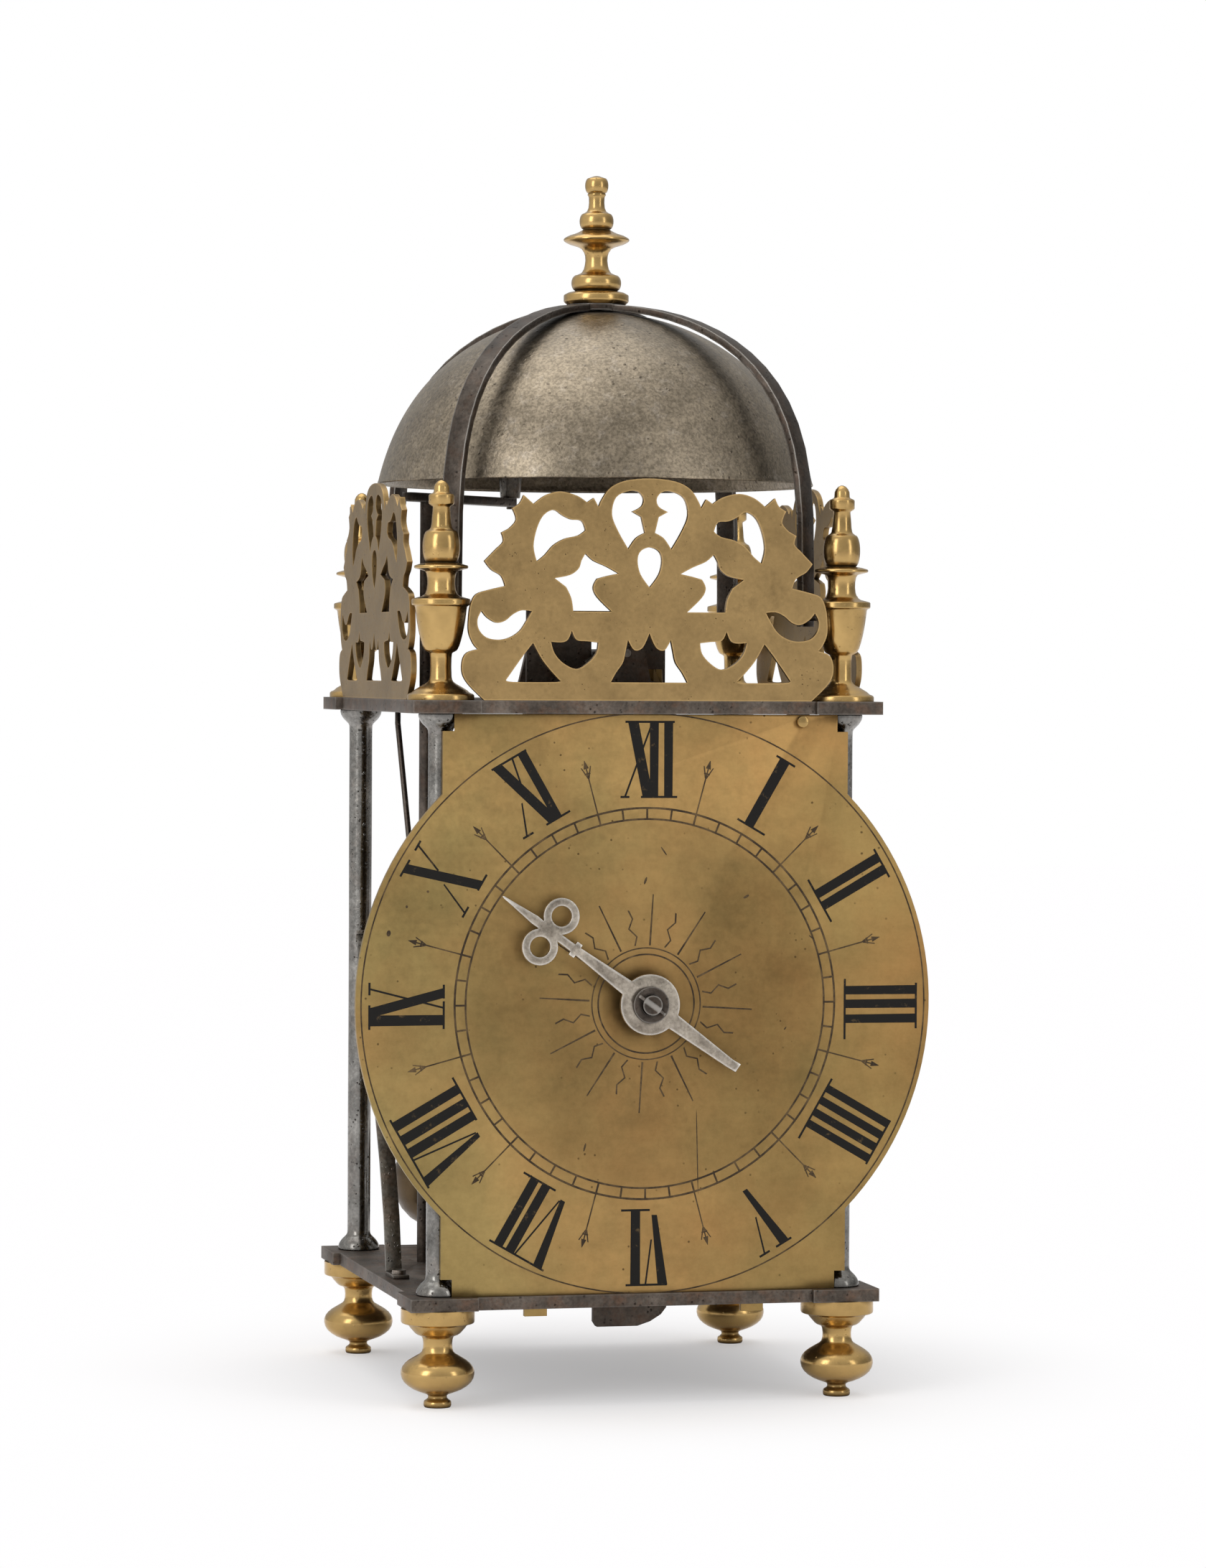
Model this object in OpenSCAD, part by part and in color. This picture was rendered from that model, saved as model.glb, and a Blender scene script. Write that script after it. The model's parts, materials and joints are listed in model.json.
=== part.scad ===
// Lantern clock: posted iron frame, brass dial, pierced frets, bell on a strap, going and striking
// trains on arbors that run front to back, and a verge with a short bob pendulum behind.
// Millimetres. +Z is up, the dial faces -Y and +X is to the right of someone facing the dial.

/* [Frame] */
// Distance between the pillar axes, left to right
pillar_gap_x = 126; // [122:0.5:136]
// Distance between the pillar axes, front to back
pillar_gap_y = 126; // [125:0.5:136]
// Length of a pillar between the two plates
pillar_len = 176.4; // [173:0.2:186]
// Radius of a pillar's shaft
pillar_r = 3.7; // [3:0.1:4.4]
// Radius of the flared collars at a pillar's ends
collar_r = 6.7; // [5.5:0.1:7]
// Height of a pillar's flared collars
collar_h = 4.8; // [4:0.1:9]
// Radius of the studs that join pillars, feet and finials
stud_r = 2.5; // [1.8:0.1:2.8]
// Length of a stud beyond the plate
stud_reach = 8; // [5:0.5:11]
// Thickness of the top and bottom plates
plate_t = 4; // [3:0.1:5]
// Side of the square ears at the plates' corners
plate_ear = 21; // [20:0.5:24]
// How far the plates' edges lie behind their ears
plate_recess = 2.2; // [1:0.1:2.8]

/* [Feet and finials] */
// Height of a foot
foot_h = 30; // [27:0.5:34]
// Radius of a foot's ball
foot_ball_r = 11.2; // [9:0.1:13]
// Radius of a foot's flat tip
foot_tip_r = 4.2; // [3:0.1:6]
// Height of a corner finial
finial_h = 66.5; // [62:0.5:72]
// Radius of the rim of a corner finial's urn
urn_r = 8.95; // [8.4:0.05:9.1]
// Height of the finial over the bell
top_finial_h = 40.7; // [36:0.1:46]
// Radius of the foot of the finial over the bell
top_finial_r = 10.3; // [9:0.1:12]

/* [Bell and strap] */
// Radius of the bell at its rim
bell_r = 69; // [66:0.5:71]
// Height of the bell
bell_h = 55; // [50:0.5:60]
// Thickness of the bell's wall
bell_wall = 2.5; // [1.8:0.1:3.2]
// Height of the bell's rim above the top plate
bell_lift = 67.6; // [66:0.2:74]
// Width of the bell strap
strap_w = 6.8; // [5.5:0.1:9]
// Thickness of the bell strap
strap_t = 2.1; // [1.6:0.1:2.4]
// Height of the strap's pegs above the top plate
peg_lift = 26; // [24.5:0.1:27.5]
// Radius of the strap's pegs
peg_r = 1.2; // [0.8:0.1:1.6]
// How far the strap sits turned from the corners, in degrees
strap_twist = -2.5; // [-3:0.1:0]

/* [Frets] */
// Thickness of a fret
fret_t = 1.8; // [1.2:0.1:2.2]
// How far a fret stands outside the line of the pillars
fret_out = 8.2; // [7.6:0.1:8.6]
// Height of a fret
fret_h = 67.5; // [64:0.5:70]
// Half width of a fret at its widest leaf
fret_half_w = 58; // [56:0.5:58]
// Distance of a fret's fixing lugs from its middle
fret_lug_x = 40; // [30:0.5:44]
// Radius of the small fixing screws
screw_r = 1.2; // [0.9:0.1:1.4]

/* [Dial and hand] */
// Radius of the round part of the dial
dial_r = 90; // [84:0.5:96]
// Width of the square part of the dial plate
dial_plate_w = 127; // [120:0.5:128]
// Thickness of the dial plate
dial_t = 2; // [1.4:0.1:2.4]
// Length of the hour hand from its centre to its tip
hand_len = 61.4; // [50:0.2:64]
// Length of the hour hand's tail
hand_tail = 34; // [24:0.5:40]
// Thickness of the hour hand
hand_t = 1.6; // [1.2:0.1:2]
// Radius of the hour hand's round boss
hand_boss_r = 9.3; // [7:0.1:11]
// Direction in which the hand points, from three o'clock towards twelve
hand_angle = 144.2; // [0:0.1:360]
// Radius of the arbor that carries the hand
hour_arbor_r = 3; // [2.4:0.1:3.4]

/* [Movement bars] */
// Distance of the front and back bars from the middle bar
bar_gap = 50; // [49.6:0.1:51]
// Thickness of a movement bar
bar_t = 3; // [2.4:0.1:3.4]
// Width of a movement bar
bar_w = 21; // [17:0.5:22]
// How far the front bar's foot passes below the bottom plate
bar_foot = 8.5; // [6:0.5:12]
// Width of the front bar's foot
bar_foot_w = 23; // [22:0.5:26]
// How far the dial's tongues pass below the bottom plate
tongue_reach = 2.4; // [0.5:0.1:4]

/* [Trains] */
// Height of the great arbors below the middle of the dial
great_drop = 39; // [37:0.5:40]
// Distance from a great arbor to the second arbor over it
second_rise = 43.2; // [42:0.2:44]
// Distance from a second arbor to the third arbor over it
third_rise = 33.6; // [33:0.2:34.4]
// Distance from the warning arbor to the fly arbor over it
fly_rise = 24; // [23.4:0.2:25]
// Thickness of a train wheel
wheel_t = 1.6; // [1.2:0.1:1.8]
// Radius of a great arbor
great_arbor_r = 1.5; // [1.2:0.1:1.7]
// Radius of the smaller arbors
arbor_r = 1.5; // [1.2:0.1:1.7]
// Radius of the small arbors' pivots
pivot_r = 1; // [0.7:0.05:1.2]
// Radius of the rope pulleys
pulley_r = 17; // [14:0.5:18]
// Radius of the fly's vane
fly_r = 18; // [14:0.5:18]
// Teeth of the going great wheel
great_teeth = 64; // [56:2:72]
// Teeth of the striking great wheel
strike_teeth = 48; // [42:2:54]
// Teeth of the second wheels, and of the contrate wheel
second_teeth = 48; // [42:2:54]
// Teeth of the warning wheel
warning_teeth = 40; // [36:2:48]
// Teeth of the count wheel
count_teeth = 78; // [72:2:84]
// Teeth of the hour wheel
hour_teeth = 72; // [66:2:78]
// Leaves of the train pinions
leaves = 8; // [7:1:9]
// Leaves of the pinion that drives the hour wheel
hour_leaves = 6; // [6:1:7]
// Radius of the contrate wheel's ring of teeth
contrate_r = 24; // [22:0.5:25]

/* [Escapement and pendulum] */
// Distance of the crown wheel's arbor in front of the middle bar
crown_y = 23.5; // [23:0.1:24.5]
// Radius of the crown wheel
crown_r = 16; // [14:0.5:16.5]
// Teeth of the crown wheel
crown_teeth = 15; // [11:2:19]
// Height of the crown wheel's teeth
crown_tooth_h = 5; // [3:0.1:6]
// Radius of the verge
verge_r = 1.3; // [0.9:0.1:1.4]
// Height of the verge over the crown wheel's teeth
verge_lift = 5; // [4:0.1:6]
// Reach of the verge's pallets from its axis
pallet_reach = 6; // [4:0.1:6.1]
// Distance from the verge to the middle of the pendulum bob
pendulum_len = 177.6; // [150:0.2:178]
// Radius of the pendulum bob
bob_r = 16.3; // [12:0.1:16.4]
// Lean of the pendulum where it rests, to the left
pendulum_lean = 10.15; // [0:0.05:14]
// Distance of the pendulum behind the middle bar
pendulum_y = 82; // [80:0.5:86]

/* [Hammer and levers] */
// Distance of the hammer arbor left of the middle
hammer_x = 50; // [46:0.5:52]
// Distance of the hammer arbor behind the middle bar
hammer_y = 20; // [16:0.5:24]
// Radius of the hammer arbor
hammer_r = 2.4; // [1.8:0.1:2.6]
// Distance of the hammer head left of the middle
head_x = 15; // [12:0.5:18]
// Distance of the hammer head behind the middle
head_y = 56; // [52:0.5:56.5]
// Radius of the hammer head
head_r = 4; // [3:0.1:4.2]
// Distance of the levers' arbors right of the middle
lever_x = 38; // [36:0.5:42]
// Reach of the hour wheel's lifting pins from its middle
lift_pin_at = 33; // [32:0.5:33.6]

/* [Fits] */
// Gap all round a shaft that turns or a stud in its hole
fit = 0.05; // [0.02:0.01:0.1]
// Gap between parts that pass close by each other
gap = 0.4; // [0.3:0.05:0.5]

/* [Hidden] */

brass = "darkgoldenrod";
dark_brass = "saddlebrown";
iron = "dimgray";
steel = "silver";
bell_metal = "rosybrown";

// Levels of the frame
z_base = foot_h;
z_floor = z_base + plate_t;
z_ceil = z_floor + pillar_len;
z_top = z_ceil + plate_t;
z_rim = z_top + bell_lift;
z_crown = z_rim + bell_h;
z_strap = z_crown + 0.2 + strap_t;
dial_z = (z_floor + z_ceil) / 2;

// Half sizes of the frame
px = pillar_gap_x / 2;
py = pillar_gap_y / 2;
ear = plate_ear / 2;
edge_x = px + ear - plate_recess;
edge_y = py + ear - plate_recess;

// The dial's planes, front to back, as distances in front of the middle bar
dial_back = py + pillar_r + 0.8;
dial_front = dial_back + dial_t;
hand_back = dial_front + 3.9;
hand_front = hand_back + hand_t;
collet_t = 1.4;
arbor_front = hand_front + collet_t + 1.6;

// Where the arbors lie
great_z = dial_z - great_drop;
second_z = great_z + second_rise;
third_z = second_z + third_rise;
fly_z = third_z + fly_rise;
lift_z = third_z - 10;
lock_x = lever_x - 2;
lock_z = third_z - 20;
count_drop = 38.7;
count_x = -20;
count_z = great_z + sqrt(pow(count_drop, 2) - pow(count_x, 2));

// The bars' faces and the wheels' planes, as distances behind the middle bar's middle
bar_half = bar_t / 2;
front_face = -bar_gap - bar_half;
bay_front = -bar_gap + bar_half;
bay_back = bar_gap - bar_half;
rear_face = bar_gap + bar_half;
great_y = bay_front + 5.5;
second_y = -16;
hour_y = -dial_back + 5.5;
strike_y = bay_back - 7.5;
hoop_y = 12;
warning_y = 28;
count_y = rear_face + 2;

// Sizes of the teeth that follow from the arbors' distances
great_m = 2 * second_rise / (great_teeth + leaves);
strike_m = 2 * second_rise / (strike_teeth + leaves);
second_m = 2 * third_rise / (second_teeth + leaves);
warning_m = 2 * fly_rise / (warning_teeth + leaves);
count_m = 2 * count_drop / (count_teeth + leaves);
hour_m = 2 * great_drop / (hour_teeth + hour_leaves);
contrate_m = 2 * contrate_r / second_teeth;
addendum = 0.85;
dedendum = 1.1;

// The escapement's levels
crown_floor = z_top + 3.2;
crown_tip = crown_floor + 1.4 + crown_tooth_h;
verge_z = crown_tip + verge_lift;
front_cock_y = -crown_y - crown_r - 4.1;
bridge_y = -crown_y + crown_r + 4.6;
back_cock_y = py + ear - 2.5;
cock_t = 2.3;
foot_t = 2.2;
potence_top = third_z + 12;
contrate_tip = -crown_y - contrate_m * leaves / 2 + addendum * contrate_m;
contrate_root = contrate_tip - (addendum + dedendum) * contrate_m;

// Fixing screws
screw_head_r = 2.2;
screw_head_t = 1.3;
fret_base = 5.5;
fret_lug_t = 1.6;
fret_lug_reach = 7;
fret_lug_w = 8;
fret_face = fret_out - fret_t;
fret_screw_in = 4;

// The part's origin is under the middle of the whole clock, hand and pendulum included
y_shift = (arbor_front - pendulum_y - bob_r) / 2;

$fn = 48;

// Shared helpers

// Moves a piece from the middle of the frame to the part's origin
module in_frame() {
  translate([0, y_shift, 0]) children();
}

// Extrudes an outline in X and Z along Y, from y0 to y1
module along_y(y0, y1) {
  translate([0, y1, 0]) rotate([90, 0, 0]) linear_extrude(y1 - y0) children();
}

// A round bar along Y
module rod_y(x, z, y0, y1, r) {
  translate([x, y1, z]) rotate([90, 0, 0]) cylinder(h = y1 - y0, r = r);
}

// A round bar along Z
module rod_z(x, y, z0, z1, r) {
  translate([x, y, z0]) cylinder(h = z1 - z0, r = r);
}

// A box from its lowest corner to its highest corner
module block(low, high) {
  translate(low) cube(high - low);
}

// A bar with round ends in a plane, from p to q
module link(p, q, r) {
  a = atan2(q[1] - p[1], q[0] - p[0]);
  polygon(concat([for (t = [90 : 22.5 : 270]) p + r * [cos(a + t), sin(a + t)]],
    [for (t = [-90 : 22.5 : 90]) q + r * [cos(a + t), sin(a + t)]]));
}

// A strip of even width along a path in a plane
module strip(path, w) {
  last = len(path) - 1;
  side = [for (i = [0 : last]) let (d = path[min(i + 1, last)] - path[max(i - 1, 0)])
    [-d[1], d[0]] / norm(d) * w / 2];
  polygon(concat([for (i = [0 : last]) path[i] + side[i]], [for (i = [last : -1 : 0]) path[i] - side[i]]));
}

// Points of a turned bead from height z0 to z1 that swells from radius r0 to r1
function bead(r0, r1, z0, z1, n = 8) =
  [for (i = [0 : n]) [r0 + (r1 - r0) * sqrt(max(0, 1 - pow(2 * i / n - 1, 2))), z0 + (z1 - z0) * i / n]];

// A profile's points stretched in height by k
function taller(points, k) = [for (p = points) [p[0], p[1] * k]];

// The profile's point number i, counted round the loop
function at(points, i) = points[(i + len(points)) % len(points)];

// The curve's direction at point i, none at a point marked as a corner
function slope(points, i) = len(at(points, i)) > 2 ? [0, 0] :
  [at(points, i + 1)[0] - at(points, i - 1)[0], at(points, i + 1)[1] - at(points, i - 1)[1]] / 2;

// A smooth closed curve through points given as [across, up] or [across, up, corner]
function smooth(points, n = 4) = [for (i = [0 : len(points) - 1]) for (k = [0 : n - 1])
  let (t = k / n, a = at(points, i), b = at(points, i + 1), c = slope(points, i), d = slope(points, i + 1),
    h1 = 2 * pow(t, 3) - 3 * pow(t, 2) + 1, h2 = pow(t, 3) - 2 * pow(t, 2) + t,
    h3 = 3 * pow(t, 2) - 2 * pow(t, 3), h4 = pow(t, 3) - pow(t, 2))
  [h1 * a[0] + h2 * c[0] + h3 * b[0] + h4 * d[0], h1 * a[1] + h2 * c[1] + h3 * b[1] + h4 * d[1]]];

// A toothed outline. Widths are shares of the tooth pitch, at the root and at the tip
module toothed(n, m, root_w, tip_w, add, ded, phase = 0) {
  r = m * n / 2;
  p = 360 / n;
  polygon([for (i = [0 : n - 1]) for (e = [[-root_w, -ded], [-tip_w, add], [tip_w, add], [root_w, -ded]])
    (r + e[1] * m) * [cos(phase + (i + e[0] / 2) * p), sin(phase + (i + e[0] / 2) * p)]]);
}

// A wheel's outline with its crossings, phase being the angle of one tooth
module wheel_shape(n, m, phase, spokes = 4, rim = 4, hub = 6) {
  r = m * n / 2 - dedendum * m - rim;
  difference() {
    toothed(n, m, 0.5, 0.22, addendum, dedendum, phase);
    if (r > hub + 4) difference() {
      circle(r);
      circle(hub);
      for (i = [0 : spokes - 1]) rotate(i * 360 / spokes + 45) translate([0, -2]) square([r + 1, 4]);
    }
  }
}

// A pinion's outline, phase being the angle of one leaf
module pinion_shape(n, m, phase) {
  toothed(n, m, 0.36, 0.16, 0.6, 1.2, phase);
}

// An arbor along Y between the bars' faces y0 and y1, with pivots that end at p0 and p1
module arbor(z, y0, y1, p0, p1) {
  rod_y(0, z, y0 + 0.3, y1 - 0.3, arbor_r);
  rod_y(0, z, p0, p1, pivot_r);
}
module going_arbor(z) { arbor(z, bay_front, -bar_half, front_face + 0.2, -0.3); }
module strike_arbor(z) { arbor(z, bar_half, bay_back, 0.3, rear_face - 0.2); }

// A screw with a slotted round head, its shank pointing down from z
module screw(x, y, z, depth) {
  difference() {
    union() {
      rod_z(x, y, z, z + screw_head_t, screw_head_r);
      rod_z(x, y, z - depth, z + 0.1, screw_r);
    }
    block([x - screw_head_r, y - 0.3, z + 0.7], [x + screw_head_r, y + 0.3, z + screw_head_t + 1]);
  }
}

// Frame

// A plate with an ear over each pillar and a hole for each pillar's stud
module frame_plate(z) {
  difference() {
    union() {
      block([-edge_x, -edge_y, z], [edge_x, edge_y, z + plate_t]);
      for (x = [-px, px], y = [-py, py]) block([x - ear, y - ear, z], [x + ear, y + ear, z + plate_t]);
    }
    for (x = [-px, px], y = [-py, py]) rod_z(x, y, z - 1, z + plate_t + 1, stud_r + fit);
  }
}

// Dial tongues, as places across the dial
tongue_x = 34;
tongue_w = 7;
tongue_h = plate_t + tongue_reach;

module bottom_plate() {
  in_frame() color(iron) difference() {
    frame_plate(z_base);
    bar_mortises(z_base, 0, bar_foot_w / 2);
    for (x = [-tongue_x, tongue_x])
      block([x - tongue_w / 2 - fit, -dial_front - fit, z_base - 1],
        [x + tongue_w / 2 + fit, -dial_back + fit, z_floor + 1]);
    rod_z(-hammer_x, hammer_y, z_base - 1, z_floor + 1, pivot_r + 0.5 + fit);
    rod_z(spring_x, spring_foot_y - 8, z_base - 1, z_floor + 1, screw_r + fit);
  }
}

// Half width of a bar's tenon and the wedge's thickness beside it
tenon_half = 6;
wedge_t = 2;

// Slots for the three bars' tenons, with room behind each tenon for a wedge of thickness room.
// The front bar's slot is of another half width
module bar_mortises(z, room, front_half) {
  for (slot = [[-bar_gap, front_half], [0, tenon_half], [bar_gap, tenon_half]])
    block([-slot[1] - fit, slot[0] - bar_half - fit, z - 1],
      [slot[1] + fit, slot[0] + bar_half + fit + room, z + plate_t + 1]);
}

// The stud near the top of the dial, and the lug behind the dial that takes it
stud_x = 48.8;
dial_stud_z = z_ceil - 2.2;
dial_stud_r = 1.8;

module top_plate() {
  in_frame() color(iron) difference() {
    union() {
      frame_plate(z_ceil);
      block([stud_x - 3, -dial_back + fit, z_ceil - 5], [stud_x + 3, -dial_back + 5, z_ceil + 0.5]);
    }
    bar_mortises(z_ceil, wedge_t, tenon_half);
    rod_z(-hammer_x, hammer_y, z_ceil - 1, z_top + 1, hammer_r + fit);
    rod_z(0, -crown_y, z_ceil - 1, z_top + 1, arbor_r + fit);
    rod_y(stud_x, dial_stud_z, -dial_back - 1, -dial_back + 4, 1 + fit);
    fret_screw_places() rod_z(0, 0, z_ceil - 1, z_top + 1, screw_r + fit);
    for (p = cock_screw_places) rod_z(p[0], p[1], z_ceil - 1, z_top + 1, screw_r + fit);
    rod_z(stop_x, stop_y, z_ceil - 1, z_top + 1, stop_r + fit);
  }
}

// A round pillar with a rounded collar at each end and a stud through each plate
module pillar(x, y) {
  in_frame() color(iron) translate([x, y, z_floor]) {
    rotate_extrude() polygon([[0, 0], [collar_r, 0], [collar_r * 0.97, collar_h * 0.3],
      [collar_r * 0.8, collar_h * 0.7], [pillar_r, collar_h], [pillar_r, pillar_len - collar_h],
      [collar_r * 0.8, pillar_len - collar_h * 0.7], [collar_r * 0.97, pillar_len - collar_h * 0.3],
      [collar_r, pillar_len], [0, pillar_len]]);
    translate([0, 0, -plate_t - stud_reach]) cylinder(h = plate_t + stud_reach + 1, r = stud_r);
    translate([0, 0, pillar_len - 1]) cylinder(h = plate_t + stud_reach + 1, r = stud_r);
  }
}

module pillar_fl() { pillar(-px, -py); }
module pillar_fr() { pillar(px, -py); }
module pillar_rl() { pillar(-px, py); }
module pillar_rr() { pillar(px, py); }

// Feet and finials

foot_profile = concat([[0, 0], [foot_tip_r, 0], [foot_tip_r, 1.8], [2.8, 2.5], [2.8, 3.8]],
  bead(4.6, foot_ball_r, 4.4, 16.2, 12),
  [[4.6, 17], [4.4, 19.4], [4.8, 21.6], [6.4, 22.3], [7.2, 22.7], [8.8, 24.6], [9.2, 25.3],
    [foot_ball_r, 25.8], [foot_ball_r, 30], [0, 30]]);

// A turned foot with a ball, a neck and a flange under the plate
module foot(x, y) {
  in_frame() color(brass) translate([x, y, 0]) difference() {
    rotate_extrude() polygon(taller(foot_profile, foot_h / 30));
    translate([0, 0, foot_h - stud_reach - 0.5]) cylinder(h = stud_reach + 1, r = stud_r + fit);
  }
}

module foot_fl() { foot(-px, -py); }
module foot_fr() { foot(px, -py); }
module foot_rl() { foot(-px, py); }
module foot_rr() { foot(px, py); }

urn_k = urn_r / 8.95;
finial_profile = concat([[0, 0], [10.2, 0], [10.2, 1.5], [8.9, 2.2], [8, 3], [6, 4.2], [4, 5.4], [3.3, 6.6],
  [3.2, 10], [3.3, 14.2], [4.9, 15], [6.1 * urn_k, 18], [7 * urn_k, 22], [7.6 * urn_k, 26],
  [7.9 * urn_k, 28.4], [urn_r, 28.9], [urn_r, 30.5], [6, 31.2], [4.6, 32], [4.2, 35], [4.5, 38.2],
  [5, 39], [8.2, 39.9], [8.2, 40.5], [6.4, 41.2]], bead(4.2, 5.7, 41.6, 51, 8),
  [[3.3, 51.8], [2.9, 55], [2.6, 58.6], [3.9, 59.3], [3.9, 62], [2.4, 62.6], [2.3, 64.4], [1.2, 66],
    [0, 66.5]]);

// A turned corner finial: urn, ringed neck and knop. The strap's peg enters the urn from inside
module corner_finial(x, y) {
  in_frame() color(brass) difference() {
    translate([x, y, z_top]) rotate_extrude() polygon(taller(finial_profile, finial_h / 66.5));
    rod_z(x, y, z_top - 0.5, z_top + stud_reach + 0.5, stud_r + fit);
    strap_pegs(peg_len + 0.3, peg_r + fit);
  }
}

module corner_finial_fl() { corner_finial(-px, -py); }
module corner_finial_fr() { corner_finial(px, -py); }
module corner_finial_rl() { corner_finial(-px, py); }
module corner_finial_rr() { corner_finial(px, py); }

top_profile = concat([[0, 0], [top_finial_r * 0.9, 0], [top_finial_r, 1], [top_finial_r, 3],
  [top_finial_r * 0.85, 3.8]], bead(6.3, 7.9, 4.4, 9.2, 6),
  [[4.7, 10], [3.7, 12], [3.5, 14], [3.8, 16], [4.7, 17.6], [7, 18.6], [9.6, 19.6], [10.5, 20.4],
    [9.6, 21.3], [7, 22.3], [4.7, 23.4]], bead(4.1, 5.4, 23.8, 28.8, 6),
  [[3.1, 29.4], [2.5, 30.6], [2.5, 34], [3, 34.8]], bead(2.6, 3.7, 35.2, 40, 6), [[0.8, 40.7], [0, 40.7]]);

module top_finial() {
  in_frame() color(brass) translate([0, 0, z_strap]) {
    rotate_extrude() polygon(taller(top_profile, top_finial_h / 40.7));
    translate([0, 0, -strap_t - bell_wall - 8]) cylinder(h = strap_t + bell_wall + 9, r = stud_r);
  }
}

// Bell, strap and nut

// The bell's radius at height h over its rim: a dome that flares at the lip
bell_flare = 3.2;
function bell_at(h, r, top) = (r - bell_flare) * sqrt(max(0, 1 - pow(h / top, 2)))
  + bell_flare * pow(1 - h / top, 4);
bell_steps = 22;

module bell() {
  outer = [for (i = [0 : bell_steps]) let (h = bell_h * sin(90 * i / bell_steps))
    [max(0, bell_at(h, bell_r, bell_h)), h]];
  inner_h = bell_h - bell_wall;
  inner = [for (i = [bell_steps : -1 : 0]) let (h = inner_h * sin(90 * i / bell_steps))
    [max(0, bell_at(h, bell_r - bell_wall, inner_h)), h]];
  in_frame() color(bell_metal) translate([0, 0, z_rim]) difference() {
    rotate_extrude($fn = 96) polygon(concat(outer, inner));
    translate([0, 0, bell_h - 10]) cylinder(h = 20, r = stud_r + fit);
  }
}

// The strap's half outline: legs that stand up from the pegs, then a curve over the bell
strap_spring = peg_lift + 8.6;
strap_r = norm([px, py]) - urn_r - 0.65;
strap_steps = 16;
function strap_curve(inset) = [for (i = [0 : strap_steps]) let (a = 90 * i / strap_steps)
  [(strap_r - inset) * cos(a), z_top + strap_spring
    + (z_strap - z_top - strap_spring - inset) * pow(sin(a), 0.588)]];
strap_turn = atan2(py, px);
strap_angles = [for (a = [strap_turn, 180 - strap_turn, 180 + strap_turn, -strap_turn]) a + strap_twist];
peg_len = 6;

// The pegs at the feet of the strap's legs, also used for their holes
module strap_pegs(length, r) {
  for (a = strap_angles) rotate(a) translate([strap_r - 0.5, 0, z_top + peg_lift]) rotate([0, 90, 0])
    cylinder(h = length, r = r);
}

module bell_strap() {
  foot_z = z_top + peg_lift - 3;
  outer = concat([[strap_r, foot_z]], strap_curve(0));
  inner = strap_curve(strap_t);
  profile = concat(outer, [for (i = [strap_steps : -1 : 0]) inner[i]], [[strap_r - strap_t, foot_z]]);
  in_frame() color(iron) difference() {
    union() {
      for (a = strap_angles) rotate(a)
        translate([0, strap_w / 2, 0]) rotate([90, 0, 0]) linear_extrude(strap_w) polygon(profile);
      strap_pegs(peg_len, peg_r);
      rod_z(0, 0, z_strap - strap_t, z_strap, 9);
    }
    rod_z(0, 0, z_strap - strap_t - 9, z_strap + 1, stud_r + fit);
  }
}

module bell_nut() {
  in_frame() color(iron) translate([0, 0, z_crown - bell_wall - 3.6]) difference() {
    cylinder(h = 3.4, r = 5.4, $fn = 6);
    translate([0, 0, -1]) cylinder(h = 6, r = stud_r + fit);
  }
}

// Frets. Outlines are half outlines, as [from the middle, up]; a third value marks a corner

fret_edge = [[0, 67.5], [7.5, 66.7], [12, 64.5], [14.5, 61], [15.5, 58.6, 1], [17, 61.4, 1], [19, 60, 1],
  [22, 62], [27, 63.2], [31.5, 62], [35, 59.3, 1], [38, 62, 1], [39.2, 59.5], [41.4, 58, 1], [40.2, 54.5],
  [42.4, 51.8, 1], [44.6, 50.6, 1], [44, 48], [45.8, 46, 1], [49.6, 42, 1], [47.6, 39.4], [44.6, 37.5],
  [43.4, 34.5, 1], [48, 33.4], [52, 32], [53.6, 29], [54.2, 25], [54.2, 20.5], [52.8, 17],
  [51.4, 15.4, 1], [54.6, 14.4], [56, 12], [56, 8], [54, 4.5], [49.5, 0, 1]];
fret_heart = [[6.5, 63.6], [10.3, 61.6], [11.5, 56.5], [9.6, 51.4], [6.5, 46, 1], [4.2, 49.4],
  [1.5, 51, 1], [2.2, 54], [2.6, 55.8, 1], [5.4, 57.4, 1], [2.6, 59], [2, 61.4], [3.6, 63.4]];
fret_drop = [[0, 46.6], [2.8, 45.4], [3.7, 42.6], [2.8, 38.4], [0, 34.4, 1]];
fret_shoulder = [[29, 57.6], [32, 56], [34, 52], [35, 46.6], [34, 42, 1], [31.6, 44], [29, 47],
  [25.6, 49], [21.6, 50], [19.4, 51.6, 1], [20.6, 54.4], [23.8, 54.8], [26.4, 56]];
fret_star = [[19.4, 44.6, 1], [17, 42.4], [13, 40.6], [9.4, 38.6, 1], [13, 37.8], [15.8, 37, 1],
  [17, 34.4], [15.8, 31.4], [11.4, 27, 1], [23, 27, 1], [23.6, 31], [25.2, 34.4, 1], [28.6, 37, 1],
  [24, 38], [21.4, 40], [20.6, 42.4]];
fret_moon = [[50.4, 27, 1], [51.6, 24.4], [51.2, 21.4], [49, 19], [45.4, 18.3], [42, 19], [39, 21],
  [37, 24], [35.4, 27, 1], [38.4, 27.2], [41, 26], [43.4, 24], [46, 23.4], [48.8, 25]];
fret_leaf = [[35, 17.4, 1], [32.4, 12.6], [29.6, 9], [27, 6.2, 1], [28, 5.6], [41, 5.6], [43, 6.2, 1],
  [40.4, 10], [37.6, 14]];
fret_cup = [[23.4, 21.2, 1], [22, 18.4], [18.6, 18], [15.4, 17.6, 1], [16, 14.4], [18.6, 11.4],
  [22, 9.6], [26, 11.4], [28.6, 14.4], [29.6, 17.8, 1], [26.6, 17.6], [24.6, 18.4]];
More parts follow.
